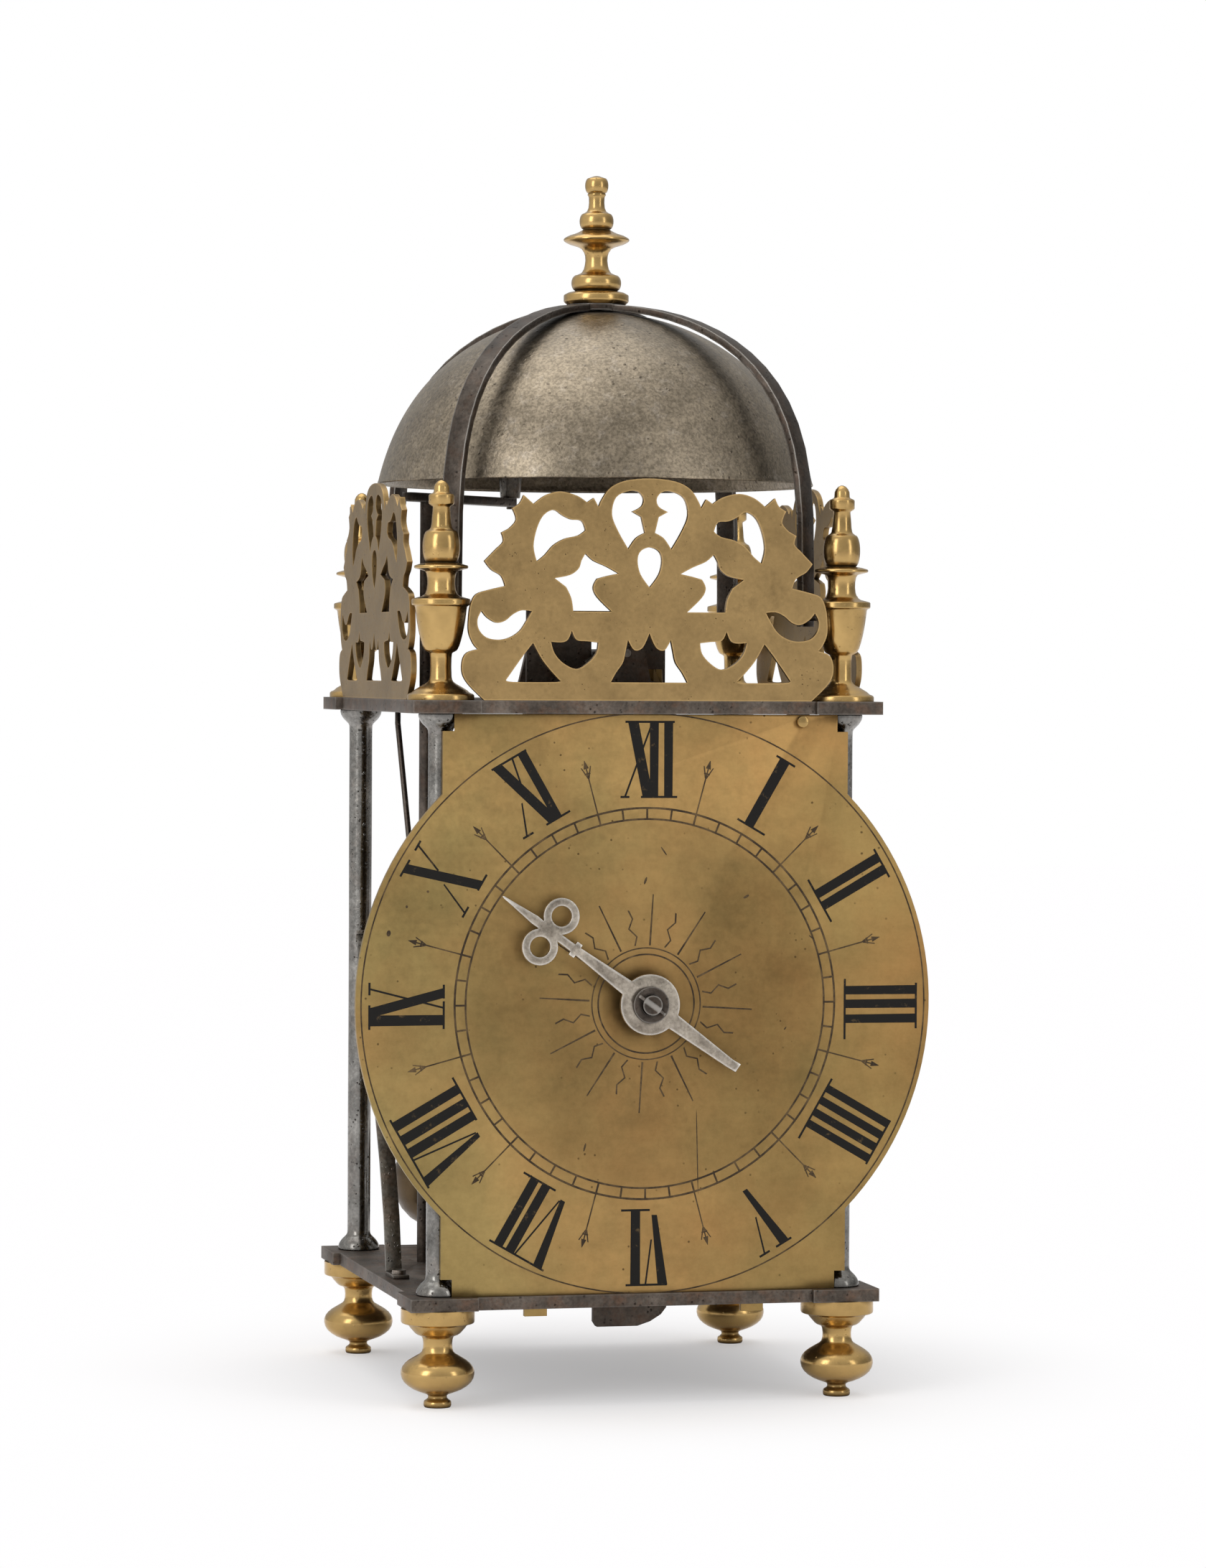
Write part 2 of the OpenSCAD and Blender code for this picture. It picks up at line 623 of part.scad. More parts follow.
fret_foot = [[11.6, 5.6, 1], [10, 8.6], [8, 11.6], [7.2, 15], [6.5, 18.6, 1], [4.6, 15.4], [2, 16.2],
  [0, 20.6, 1]];

// A half outline joined to its mirror image
function mirrored(p) = len(p) > 2 ? [-p[0], p[1], 1] : [-p[0], p[1]];
function both(points) = concat(points,
  [for (i = [len(points) - 1 : -1 : 0]) if (points[i][0] > 0) mirrored(points[i])]);

// The pierced fret as a flat outline, standing on its base line
module fret_shape() {
  difference() {
    polygon(smooth(both(fret_scaled(fret_edge))));
    for (hole = [fret_heart, fret_shoulder, fret_star, fret_moon, fret_leaf, fret_cup]) {
      polygon(smooth(fret_scaled(hole)));
      mirror([1, 0]) polygon(smooth(fret_scaled(hole)));
    }
    for (hole = [fret_drop, fret_foot]) polygon(smooth(both(fret_scaled(hole))));
  }
}

// A fret's points at the size that the named dimensions give
function fret_scaled(points) = [for (p = points) len(p) > 2 ?
  [p[0] * fret_half_w / 56, p[1] * fret_h / 67.5, 1] : [p[0] * fret_half_w / 56, p[1] * fret_h / 67.5]];

// A fret that faces -Y with its outer face at y = -out, with two lugs screwed down behind it
module fret(out) {
  translate([0, 0, z_top]) {
    along_y(-out, -out + fret_t) fret_shape();
    for (x = [-fret_lug_x, fret_lug_x]) difference() {
      block([x - fret_lug_w / 2, -out + fret_t - 0.1, 0],
        [x + fret_lug_w / 2, -out + fret_t + fret_lug_reach, fret_lug_t]);
      rod_z(x, -out + fret_t + fret_screw_in, -1, fret_lug_t + 1, screw_r + fit);
    }
  }
}

module front_fret() { in_frame() color(brass) fret(py + fret_out); }
module left_fret() { in_frame() color(brass) rotate(-90) fret(px + fret_out); }
module right_fret() { in_frame() color(brass) rotate(90) fret(px + fret_out); }

// Puts a child over each of the frets' six screw holes
module fret_screw_places() {
  for (side = [[0, py], [-90, px], [90, px]]) rotate(side[0])
    for (x = [-fret_lug_x, fret_lug_x])
      translate([x, -side[1] - fret_out + fret_t + fret_screw_in, 0]) children();
}

module fret_screws() {
  in_frame() color(steel) fret_screw_places() screw(0, 0, z_top + fret_lug_t, fret_lug_t + plate_t);
}

// Dial and hand

module dial_plate() {
  low = z_floor + 0.02;
  high = z_ceil - 0.1;
  in_frame() color(brass) difference() {
    union() {
      along_y(-dial_front, -dial_back) intersection() {
        union() {
          translate([0, dial_z]) circle(dial_r, $fn = 128);
          translate([-dial_plate_w / 2, low]) square([dial_plate_w, high - low]);
        }
        translate([-dial_r - 1, low]) square([2 * dial_r + 2, high - low]);
      }
      for (x = [-tongue_x, tongue_x])
        block([x - tongue_w / 2, -dial_front, z_floor - tongue_h], [x + tongue_w / 2, -dial_back, low + 1]);
    }
    rod_y(0, dial_z, -dial_front - 1, -dial_back + 1, hour_arbor_r + fit);
    rod_y(stud_x, dial_stud_z, -dial_front - 1, -dial_back + 1, 1 + fit);
    for (x = [-px, px], z = [z_floor - 1, z_ceil - collar_h - 0.5])
      rod_z(x, -py, z, z + collar_h + 1.5, collar_r + gap);
  }
}

module dial_stud() {
  in_frame() color(brass) {
    rod_y(stud_x, dial_stud_z, -dial_front - 1.4, -dial_front, dial_stud_r);
    rod_y(stud_x, dial_stud_z, -dial_front - 0.1, -dial_back + 3.6, 1);
  }
}

// The hand's parts along its length, as shares of its length
hand_ring_at = 0.7;
hand_ring_r = 5.6;
hand_ring_hole = 3.1;
hand_ring_off = 5.7;
hand_collar_at = 0.545;

module hour_hand() {
  in_frame() color(steel) along_y(-hand_front, -hand_back) translate([0, dial_z]) rotate(hand_angle)
    difference() {
      union() {
        circle(hand_boss_r);
        polygon([[-hand_tail, -1.8], [-hand_tail + 3, -1.5], [0, -2.9], [hand_collar_at * hand_len, -1.3],
          [hand_ring_at * hand_len, -1.2], [0.8 * hand_len, -1.5], [hand_len, -0.25], [hand_len, 0.25],
          [0.8 * hand_len, 1.5], [hand_ring_at * hand_len, 1.2], [hand_collar_at * hand_len, 1.3],
          [0, 2.9], [-hand_tail + 3, 1.5], [-hand_tail, 1.2]]);
        translate([hand_collar_at * hand_len - 1, -2.4]) square([2, 4.8]);
        for (s = [-1, 1]) translate([hand_ring_at * hand_len, s * hand_ring_off]) circle(hand_ring_r);
      }
      for (s = [-1, 1]) translate([hand_ring_at * hand_len, s * hand_ring_off]) circle(hand_ring_hole);
      circle(hour_arbor_r + fit);
    }
}

// A collet before the hand's boss, with the pin through the arbor that holds it
module hand_collet() {
  pin_r = 0.6;
  pin_y = -hand_front - collet_t - pin_r - 0.05;
  in_frame() color(iron) {
    difference() {
      rod_y(0, dial_z, -hand_front - collet_t, -hand_front, 5.6);
      rod_y(0, dial_z, -hand_front - collet_t - 1, -hand_front + 1, hour_arbor_r + fit);
    }
    translate([0, pin_y, dial_z]) rotate([0, 90 - hand_angle, 0]) translate([0, 0, -5])
      cylinder(h = 10, r = pin_r);
  }
}

// Movement bars

// A tenon's outline through the bottom plate, and the front bar's wide foot with one corner rounded off
function tenon_outline(reach) = [[-tenon_half, z_base - reach], [tenon_half, z_base - reach],
  [tenon_half, z_floor + 1], [-tenon_half, z_floor + 1]];
function foot_outline(half, low) = [[-half, low + 1.5], [-half + 1, low], [half * 0.2, low],
  [half * 0.55, low + 1.3], [half * 0.85, low + 3.4], [half, low + 5.6], [half, z_floor - 0.02],
  [tenon_half, z_floor - 0.02], [tenon_half, z_floor + 1], [-tenon_half, z_floor + 1],
  [-tenon_half, z_floor - 0.02], [-half, z_floor - 0.02]];

// A flat bar between the plates, its foot of a given outline; arms are [x0, x1, z, half height]
module movement_bar(y, foot, arms, bores) {
  in_frame() color(iron) difference() {
    union() {
      block([-bar_w / 2, y - bar_half, z_floor + 0.02], [bar_w / 2, y + bar_half, z_ceil - 0.02]);
      along_y(y - bar_half, y + bar_half) polygon(foot);
      block([-tenon_half, y - bar_half, z_ceil - 1], [tenon_half, y + bar_half, z_top]);
      for (a = arms) block([a[0], y - bar_half, a[2] - a[3]], [a[1], y + bar_half, a[2] + a[3]]);
    }
    for (b = bores) rod_y(b[0], b[1], y - bar_half - 1, y + bar_half + 1, b[2] + fit);
  }
}

lever_arm = [0, lever_x + 5, (lift_z + lock_z) / 2, (lift_z - lock_z) / 2 + 5];

module front_bar() {
  movement_bar(-bar_gap, foot_outline(bar_foot_w / 2, z_base - bar_foot), [[0, lever_x + 5, lift_z, 5]],
    [[0, great_z, great_arbor_r], [0, second_z, pivot_r], [0, third_z, pivot_r],
      [0, dial_z, hour_pivot_r], [lever_x, lift_z, pivot_r + 0.5]]);
}

module middle_bar() {
  movement_bar(0, tenon_outline(1), [lever_arm], [[0, great_z, great_arbor_r], [0, second_z, pivot_r],
    [0, third_z, pivot_r], [0, fly_z, pivot_r], [lock_x, lock_z, pivot_r],
    [lever_x, lift_z, arbor_r + gap]]);
}

module rear_bar() {
  movement_bar(bar_gap, tenon_outline(1), [lever_arm, [count_x - 5, 0, count_z, 5]],
    [[0, great_z, great_arbor_r], [0, second_z, pivot_r], [0, third_z, pivot_r], [0, fly_z, pivot_r],
      [lock_x, lock_z, arbor_r], [lever_x, lift_z, pivot_r]]);
  in_frame() color(iron) rod_y(count_x, count_z, bar_gap, count_y + wheel_t + 2.4, 2);
}

// Wedges driven beside the bars' tenons in the top plate
module bar_wedges() {
  in_frame() color(iron) for (y = [-bar_gap, 0, bar_gap])
    translate([-tenon_half, y + bar_half + 0.03, z_ceil + 0.1]) rotate([90, 0, 90])
      linear_extrude(2 * tenon_half)
        polygon([[0, 0], [wedge_t - 0.4, 0], [wedge_t - 0.05, plate_t + 3.4], [0, plate_t + 3.4]]);
}

// Going train

hour_pivot_r = 1.5;

// The gear's tooth that points at its neighbour, and the pinion's gap that faces back
hour_phase = -90;
hour_pinion_phase = 90 + 180 / hour_leaves;
up_phase = 90;
pinion_gap = -90 + 180 / leaves;

// The twelve lifting pins, each in a blind hole in the hour wheel's rim
lift_pin_r = 1;
pin_seat = 0.9;

module lift_pin_places() {
  for (i = [0 : 11]) translate([lift_pin_at * cos(i * 30), 0, dial_z + lift_pin_at * sin(i * 30)])
    children();
}

module lifting_pins() {
  in_frame() color(steel) lift_pin_places() rod_y(0, 0, hour_y - pin_seat, hour_y + 3, lift_pin_r);
}

module hour_wheel() {
  in_frame() color(brass) {
    difference() {
      along_y(hour_y - wheel_t, hour_y) translate([0, dial_z])
        wheel_shape(hour_teeth, hour_m, hour_phase);
      lift_pin_places() rod_y(0, 0, hour_y - pin_seat, hour_y + 1, lift_pin_r + fit);
    }
    rod_y(0, dial_z, front_face - 0.3 - 6, front_face - 0.3, hour_arbor_r + 1);
    difference() {
      rod_y(0, dial_z, -arbor_front, front_face - 0.4, hour_arbor_r);
      translate([0, -hand_front - collet_t - 0.65, dial_z]) rotate([0, 90 - hand_angle, 0])
        translate([0, 0, -5]) cylinder(h = 10, r = 0.6 + fit);
    }
    rod_y(0, dial_z, front_face - 0.5, front_face + bar_t - 0.3, hour_pivot_r);
  }
}

// Ratchet on the pulley's cheek and the click on the great wheel that rides over it
ratchet_r = 12.5;
ratchet_t = 1.6;
click_gap = 0.35;

// A great wheel with its arbor and click. out is where its arbor ends beyond the bar at side s
module great_wheel(n, m, y, s, y_in, y_out) {
  rod_y(0, great_z, min(y_in, y_out), max(y_in, y_out), great_arbor_r);
  along_y(y - wheel_t / 2, y + wheel_t / 2) translate([0, great_z]) wheel_shape(n, m, up_phase, 4, 4, 19);
  face = y + s * (wheel_t / 2 + 0.1);
  along_y(min(face - 0.1 * s, face + s * ratchet_t), max(face - 0.1 * s, face + s * ratchet_t))
    translate([0, great_z]) difference() {
      union() {
        link([16.5, -6], [ratchet_r + 1.6, 5], 1.1);
        translate([16.5, -6]) circle(2.4);
      }
      circle(ratchet_r + click_gap);
    }
}

module going_great_wheel() {
  in_frame() color(brass) {
    great_wheel(great_teeth, great_m, great_y, 1, -0.3, -dial_back + 2.5);
    along_y(-dial_back + 2.5, front_face - 3) translate([0, great_z])
      pinion_shape(hour_leaves, hour_m, hour_pinion_phase);
  }
}

// A rope pulley that turns on the great arbor, with its ratchet against the wheel. s is +1 or -1
module pulley(y, s, width) {
  face = y + s * (wheel_t / 2 + 0.5);
  back = face + s * width;
  difference() {
    union() {
      along_y(min(face, face + s * ratchet_t), max(face, face + s * ratchet_t))
        translate([0, great_z]) polygon([for (i = [0 : 11]) for (e = [[0, ratchet_r], [2, ratchet_r - 1.8]])
          e[1] * [cos(30 * i + e[0]), sin(30 * i + e[0])]]);
      translate([0, face + s * (ratchet_t + 0.2), great_z]) rotate([-90 * s, 0, 0])
        rotate_extrude() polygon([[0, -0.3], [pulley_r, 0], [pulley_r, 1.6], [pulley_r - 5, 4.6],
          [pulley_r - 5, width - ratchet_t - 4.8], [pulley_r, width - ratchet_t - 1.8],
          [pulley_r, width - ratchet_t - 0.2], [0, width - ratchet_t - 0.2]]);
    }
    rod_y(0, great_z, min(face, back) - 1, max(face, back) + 1, great_arbor_r + fit);
  }
}

module going_pulley() { in_frame() color(dark_brass) pulley(great_y, 1, 15); }

module going_second_wheel() {
  in_frame() {
    color(steel) going_arbor(second_z);
    color(steel) along_y(great_y - 4, great_y + 4) translate([0, second_z])
      pinion_shape(leaves, great_m, pinion_gap);
    color(brass) along_y(second_y, second_y + wheel_t) translate([0, second_z])
      wheel_shape(second_teeth, second_m, up_phase);
  }
}

// The contrate wheel has its teeth on the side of its rim, facing back
module contrate_wheel() {
  pitch = 2 * 3.14159 * contrate_r / second_teeth;
  in_frame() {
    color(steel) going_arbor(third_z);
    color(steel) along_y(second_y - 3, second_y + 5) translate([0, third_z])
      pinion_shape(leaves, second_m, pinion_gap);
    color(brass) along_y(contrate_root - wheel_t, contrate_root) translate([0, third_z]) difference() {
      circle(contrate_r + 1.5, $fn = 96);
      difference() {
        circle(contrate_r - 4);
        circle(6);
        for (i = [0 : 3]) rotate(i * 90 + 45) translate([0, -2]) square([contrate_r, 4]);
      }
    }
    color(brass) translate([0, 0, third_z]) for (i = [0 : second_teeth - 1])
      rotate([0, i * 360 / second_teeth, 0]) translate([0, 0, contrate_r - 1.5]) linear_extrude(3)
        polygon([[-0.25 * pitch, contrate_root - 0.2], [0.25 * pitch, contrate_root - 0.2],
          [0.11 * pitch, contrate_tip], [-0.11 * pitch, contrate_tip]]);
  }
}

// The crown wheel lies flat over the top plate, its arbor standing on the potence
module crown_wheel() {
  pitch = 2 * 3.14159 * crown_r / crown_teeth;
  in_frame() translate([0, -crown_y, 0]) {
    color(steel) {
      rod_z(0, 0, potence_top - potence_t + 0.3, potence_top + 1, pivot_r);
      rod_z(0, 0, potence_top + 0.05, crown_floor + 3, arbor_r);
      translate([0, 0, third_z + contrate_r - 6]) linear_extrude(10)
        pinion_shape(leaves, contrate_m, pinion_gap);
    }
    color(brass) {
      difference() {
        rod_z(0, 0, crown_floor, crown_floor + 1.4, crown_r);
        for (i = [0 : 2]) rotate(i * 120) translate([8.5, 0, crown_floor - 1]) cylinder(h = 4, r = 3.4);
      }
      for (i = [0 : crown_teeth - 1]) rotate(i * 360 / crown_teeth)
        translate([0, -crown_r + 2, crown_floor + 1.2]) rotate([90, 0, 0]) linear_extrude(1.8)
          polygon([[-0.3 * pitch, 0], [0.36 * pitch, 0], [0.36 * pitch, crown_tooth_h * 0.2],
            [-0.2 * pitch, crown_tooth_h + 0.2], [-0.3 * pitch, crown_tooth_h + 0.2]]);
    }
  }
}

potence_t = 3;

// A bracket on the middle bar whose nose carries the foot of the crown wheel's arbor
module crown_potence() {
  in_frame() color(iron) difference() {
    union() {
      block([-4, -crown_y - 4, potence_top - potence_t], [4, -bar_half - fit, potence_top]);
      block([-4, -bar_half - 2, potence_top - potence_t], [4, -bar_half - fit, potence_top + 9]);
    }
    rod_z(0, -crown_y, potence_top - potence_t - 1, potence_top + 1, pivot_r + fit);
  }
}

// The escapement's cocks

cock_screw_places = [[-11.5, front_cock_y - 8], [11.5, front_cock_y - 8], [-17, bridge_y + cock_t + 6],
  [17, bridge_y + cock_t + 6], [-6, back_cock_y - 9], [6, back_cock_y - 9]];

// A foot with a screw hole, from y0 to y1
module cock_foot(x, half, y0, y1, hole_y) {
  difference() {
    block([x - half, y0, z_top], [x + half, y1, z_top + foot_t]);
    rod_z(x, hole_y, z_top - 1, z_top + foot_t + 1, screw_r + fit);
  }
}

module verge_front_cock() {
  y0 = front_cock_y;
  in_frame() color(iron) {
    difference() {
      along_y(y0, y0 + cock_t) polygon([[-15, z_top], [15, z_top], [15, z_top + 5], [7.5, z_top + 6],
        [5, verge_z + 3], [3, verge_z + 6], [-3, verge_z + 6], [-5, verge_z + 3], [-7.5, z_top + 6],
        [-15, z_top + 5]]);
      rod_y(0, verge_z, y0 - 1, y0 + cock_t + 1, verge_r + fit);
      block([-3, y0 - 1, z_top - 1], [3, y0 + cock_t + 1, z_top + 4]);
    }
    for (x = [-11.5, 11.5]) cock_foot(x, 3.5, y0 - 11, y0 + 0.1, y0 - 8);
  }
}

bridge_half = 22.5;
bridge_h = 28;

module verge_bridge() {
  y0 = bridge_y;
  in_frame() color(iron) {
    difference() {
      along_y(y0, y0 + cock_t) polygon([[-bridge_half, z_top], [bridge_half, z_top],
        [bridge_half, z_top + bridge_h * 0.62], [bridge_half * 0.55, z_top + bridge_h],
        [-bridge_half, z_top + bridge_h]]);
      rod_y(0, verge_z, y0 - 1, y0 + cock_t + 1, verge_r + 0.3);
      block([-verge_r - 0.3, y0 - 1, verge_z], [verge_r + 0.3, y0 + cock_t + 1, verge_z + 6]);
    }
    for (x = [-17, 17]) cock_foot(x, 5.5, y0 + cock_t - 0.1, y0 + cock_t + 11, y0 + cock_t + 6);
  }
}

module verge_back_cock() {
  y1 = back_cock_y + 2.5;
  in_frame() color(iron) {
    difference() {
      along_y(y1 - 2.5, y1) polygon([[-10, z_top], [10, z_top], [8, z_top + 6], [5, verge_z + 4],
        [2.5, verge_z + 6.5], [-2.5, verge_z + 6.5], [-5, verge_z + 4], [-8, z_top + 6]]);
      rod_y(0, verge_z, y1 - 4, y1 + 1, verge_r + fit);
    }
    for (x = [-6, 6]) cock_foot(x, 4, back_cock_y - 13, y1 - 2.4, back_cock_y - 9);
  }
}

module cock_screws() {
  in_frame() color(steel) for (p = cock_screw_places)
    screw(p[0], p[1], z_top + foot_t, foot_t + plate_t);
}

// The verge: two pallets over opposite sides of the crown wheel, and an eye for the pendulum
pallet_spread = 50;

module verge() {
  in_frame() color(steel) {
    rod_y(0, verge_z, front_cock_y + 0.2, pendulum_y + 3, verge_r);
    for (s = [-1, 1])
      translate([0, -crown_y + s * (crown_r - 1), verge_z]) rotate([0, pendulum_lean, 0])
        rotate([0, s * pallet_spread, 0])
          block([-0.5, -1.3, -pallet_reach], [0.5, 1.3, 0]);
  }
}

// Moves a piece made upright under the verge to where the pendulum rests
module leaning() {
  translate([0, pendulum_y, verge_z]) rotate([0, pendulum_lean, 0]) children();
}

rod_r = 1;
rod_tail = 24;

module pendulum_rod() {
  in_frame() color(steel) leaning() difference() {
    union() {
      translate([0, 0, -pendulum_len - rod_tail]) cylinder(h = pendulum_len + rod_tail - 2, r = rod_r);
      rotate([90, 0, 0]) translate([0, 0, -2.4]) cylinder(h = 4.8, r = 3.4);
    }
    rotate([90, 0, 0]) translate([0, 0, -4]) cylinder(h = 8, r = verge_r + 0.02);
  }
}

// A pear-shaped bob on the rod
module pendulum_bob() {
  in_frame() color(dark_brass) leaning() translate([0, 0, -pendulum_len]) difference() {
    rotate_extrude() polygon(concat([[0, -bob_r]],
      [for (a = [-75 : 15 : 30]) bob_r * [cos(a), sin(a)]],
      [[bob_r * 0.68, bob_r * 0.74], [bob_r * 0.42, bob_r * 0.98], [bob_r * 0.26, bob_r * 1.2],
        [0, bob_r * 1.2]]));
    translate([0, 0, -2 * bob_r]) cylinder(h = 4 * bob_r, r = rod_r + fit);
  }
}

module rating_nut() {
  in_frame() color(brass) leaning() translate([0, 0, -pendulum_len - bob_r - 3.2]) difference() {
    cylinder(h = 3, r = 3.2);
    translate([0, 0, -1]) cylinder(h = 5, r = rod_r + fit);
  }
}

// Striking train

strike_pin_at = 33.4;

module strike_great_wheel() {
  in_frame() color(brass) {
    great_wheel(strike_teeth, strike_m, strike_y, -1, 0.3, count_y + wheel_t + 2);
    for (i = [0 : 7]) rod_y(strike_pin_at * cos(i * 45 + 22.5), great_z + strike_pin_at * sin(i * 45 + 22.5),
      strike_y - wheel_t / 2 - 4, strike_y, 1.3);
    along_y(count_y - 0.8, count_y + wheel_t + 1) translate([0, great_z])
      pinion_shape(leaves, count_m, count_angle + 180 / leaves);
  }
}

module strike_pulley() { in_frame() color(dark_brass) pulley(strike_y, -1, 15); }

// The hoop wheel carries a raised hoop with one gap for the locking piece
hoop_r = 20.5;
hoop_t = 1.6;
hoop_h = 4;

module hoop_wheel() {
  in_frame() {
    color(steel) strike_arbor(second_z);
    color(steel) along_y(strike_y - 4, strike_y + 4) translate([0, second_z])
      pinion_shape(leaves, strike_m, pinion_gap);
    color(brass) along_y(hoop_y, hoop_y + wheel_t) translate([0, second_z])
      wheel_shape(second_teeth, second_m, up_phase, 4, 8);
  }
}

module strike_hoop() {
  in_frame() color(brass) along_y(hoop_y + wheel_t, hoop_y + wheel_t + hoop_h)
    translate([0, second_z]) difference() {
      circle(hoop_r + hoop_t / 2);
      circle(hoop_r - hoop_t / 2);
      rotate(20) translate([0, -4]) square([hoop_r + 4, 8]);
    }
}

module warning_wheel() {
  in_frame() {
    color(steel) strike_arbor(third_z);
    color(steel) along_y(hoop_y - 3, hoop_y + wheel_t + 3) translate([0, third_z])
      pinion_shape(leaves, second_m, pinion_gap);
    color(brass) along_y(warning_y, warning_y + wheel_t) translate([0, third_z])
      wheel_shape(warning_teeth, warning_m, up_phase);
    color(steel) rod_y(-16.4, third_z, warning_y + 0.2, warning_y + wheel_t + 3, 0.8);
  }
}

module fly() {
  in_frame() {
    color(steel) strike_arbor(fly_z);
    color(steel) along_y(warning_y - 3, warning_y + wheel_t + 3) translate([0, fly_z])
      pinion_shape(leaves, warning_m, pinion_gap);
    color(brass) along_y(bar_half + 3.5, warning_y - 7) translate([0, fly_z]) union() {
      translate([-fly_r, -0.5]) square([2 * fly_r, 1]);
      circle(2.6);
    }
  }
}

// The count wheel: slots at growing distances let the locking piece drop after each hour's blows
count_angle = atan2(count_z - great_z, count_x);
count_slots = [for (h = [1 : 12]) (h * (h + 1) / 2) * 360 / 78];

module count_wheel() {
  rim = count_m * count_teeth / 2 - dedendum * count_m;
  in_frame() color(brass) difference() {
    union() {
      along_y(count_y, count_y + wheel_t) translate([count_x, count_z]) difference() {
        toothed(count_teeth, count_m, 0.5, 0.22, addendum, dedendum, count_angle + 180);
        difference() {
          circle(rim - 9);
          circle(7);
          for (i = [0 : 3]) rotate(i * 90 + 45) translate([0, -2]) square([rim, 4]);
        }
      }
      along_y(count_y + wheel_t - 0.1, count_y + wheel_t + 2) translate([count_x, count_z]) difference() {
        circle(rim - 0.6);
        circle(rim - 4);
        for (a = count_slots) rotate(a) translate([rim - 3.4, -1]) square([4, 2]);
      }
    }
    rod_y(count_x, count_z, count_y - 1, count_y + wheel_t + 3, 2 + fit);
  }
}

// Levers

// How far the levers' tips stand clear of the pins and the hoop
lever_clear = 1.6;

// The lifting piece: a tail behind the hour wheel's pins and a warning lever by the warning wheel
module lifting_piece() {
  tail_r = lift_pin_at + lift_pin_r + lever_clear + 1.1;
  tip = [tail_r * cos(45), dial_z + tail_r * sin(45)];
  in_frame() color(iron) {
    rod_y(lever_x, lift_z, front_face - 8, bay_front - 0.3, pivot_r + 0.5);
    rod_y(lever_x, lift_z, bay_front + 0.3 - 1, bay_back - 0.3, arbor_r);
    rod_y(lever_x, lift_z, bay_back - 1, bay_back + bar_t - 0.2, pivot_r);
    along_y(hour_y + 0.9, hour_y + 2.5) {
      link([lever_x, lift_z], tip, 1.1);
      translate([lever_x, lift_z]) circle(3);
    }
    along_y(warning_y + wheel_t + 1, warning_y + wheel_t + 2.6) {
      link([lever_x, lift_z], [17.5, third_z - 14], 1.1);
      translate([lever_x, lift_z]) circle(3);
    }
  }
}

// The locking piece: one arm at the hoop, one arm at the count wheel behind the back bar
module locking_piece() {
  at_hoop = [lock_x, lock_z] + (norm([lock_x, lock_z - second_z]) - hoop_r - hoop_t / 2 - lever_clear - 1.1)
    * ([0, second_z] - [lock_x, lock_z]) / norm([lock_x, lock_z - second_z]);
  count_out = count_m * (count_teeth / 2 + addendum) + gap + 1.1;
  to_count = [count_x, count_z] - [lock_x, lock_z];
  at_count = [lock_x, lock_z] + (norm(to_count) - count_out) * to_count / norm(to_count);
  in_frame() color(iron) {
    rod_y(lock_x, lock_z, -bar_half + 0.3, bar_half + 1.3, pivot_r);
    rod_y(lock_x, lock_z, bar_half + 0.3, count_y + wheel_t + 1, arbor_r);
    along_y(hoop_y + wheel_t + 1, hoop_y + wheel_t + 3) {
      link([lock_x, lock_z], at_hoop, 1.1);
      translate([lock_x, lock_z]) circle(2.8);
    }
    along_y(count_y + 0.1, count_y + wheel_t) {
      link([lock_x, lock_z], at_count, 1.1);
      translate([lock_x, lock_z]) circle(2.8);
    }
  }
}

// Hammer

arm_z = z_rim - 5.2;
arm_t = 2.8;
tail_z = dial_z + 13;
tail_end = [-62, 35];

module hammer() {
  pivot = [-hammer_x, hammer_y];
  head = [-head_x, head_y];
  back = pivot - 11 * (head - pivot) / norm(head - pivot);
  in_frame() color(iron) {
    rod_z(pivot[0], pivot[1], z_base + 0.5, z_floor + 1, pivot_r + 0.5);
    rod_z(pivot[0], pivot[1], z_floor + 0.05, arm_z + 0.1, hammer_r);
    translate([0, 0, arm_z]) linear_extrude(arm_t) difference() {
      union() {
        link(back, head, 2.2);
      }
      translate(head) circle(1.2 + fit);
    }
    translate([0, 0, tail_z]) linear_extrude(3) link(pivot, tail_end, 1.8);
    translate([0, 0, great_z - 1.5]) linear_extrude(3) {
      link(pivot, [-hammer_x + 6, strike_y - wheel_t / 2 - 3], 1.6);
      link([-hammer_x + 6, strike_y - wheel_t / 2 - 3], [-36.6, strike_y - wheel_t / 2 - 3], 1.4);
    }
  }
}

// The hammer head on its stem, inside the bell's lip
module hammer_head() {
  in_frame() color(iron) translate([-head_x, head_y, 0]) {
    rod_z(0, 0, arm_z - 0.8, arm_z + arm_t + 1, 1.2);
    translate([0, 0, arm_z + arm_t + 0.02]) cylinder(h = 9.6, r1 = head_r * 0.8, r2 = head_r);
  }
}

spring_x = -66;
spring_w = 5;
spring_t = 1.2;
spring_foot_y = -10;

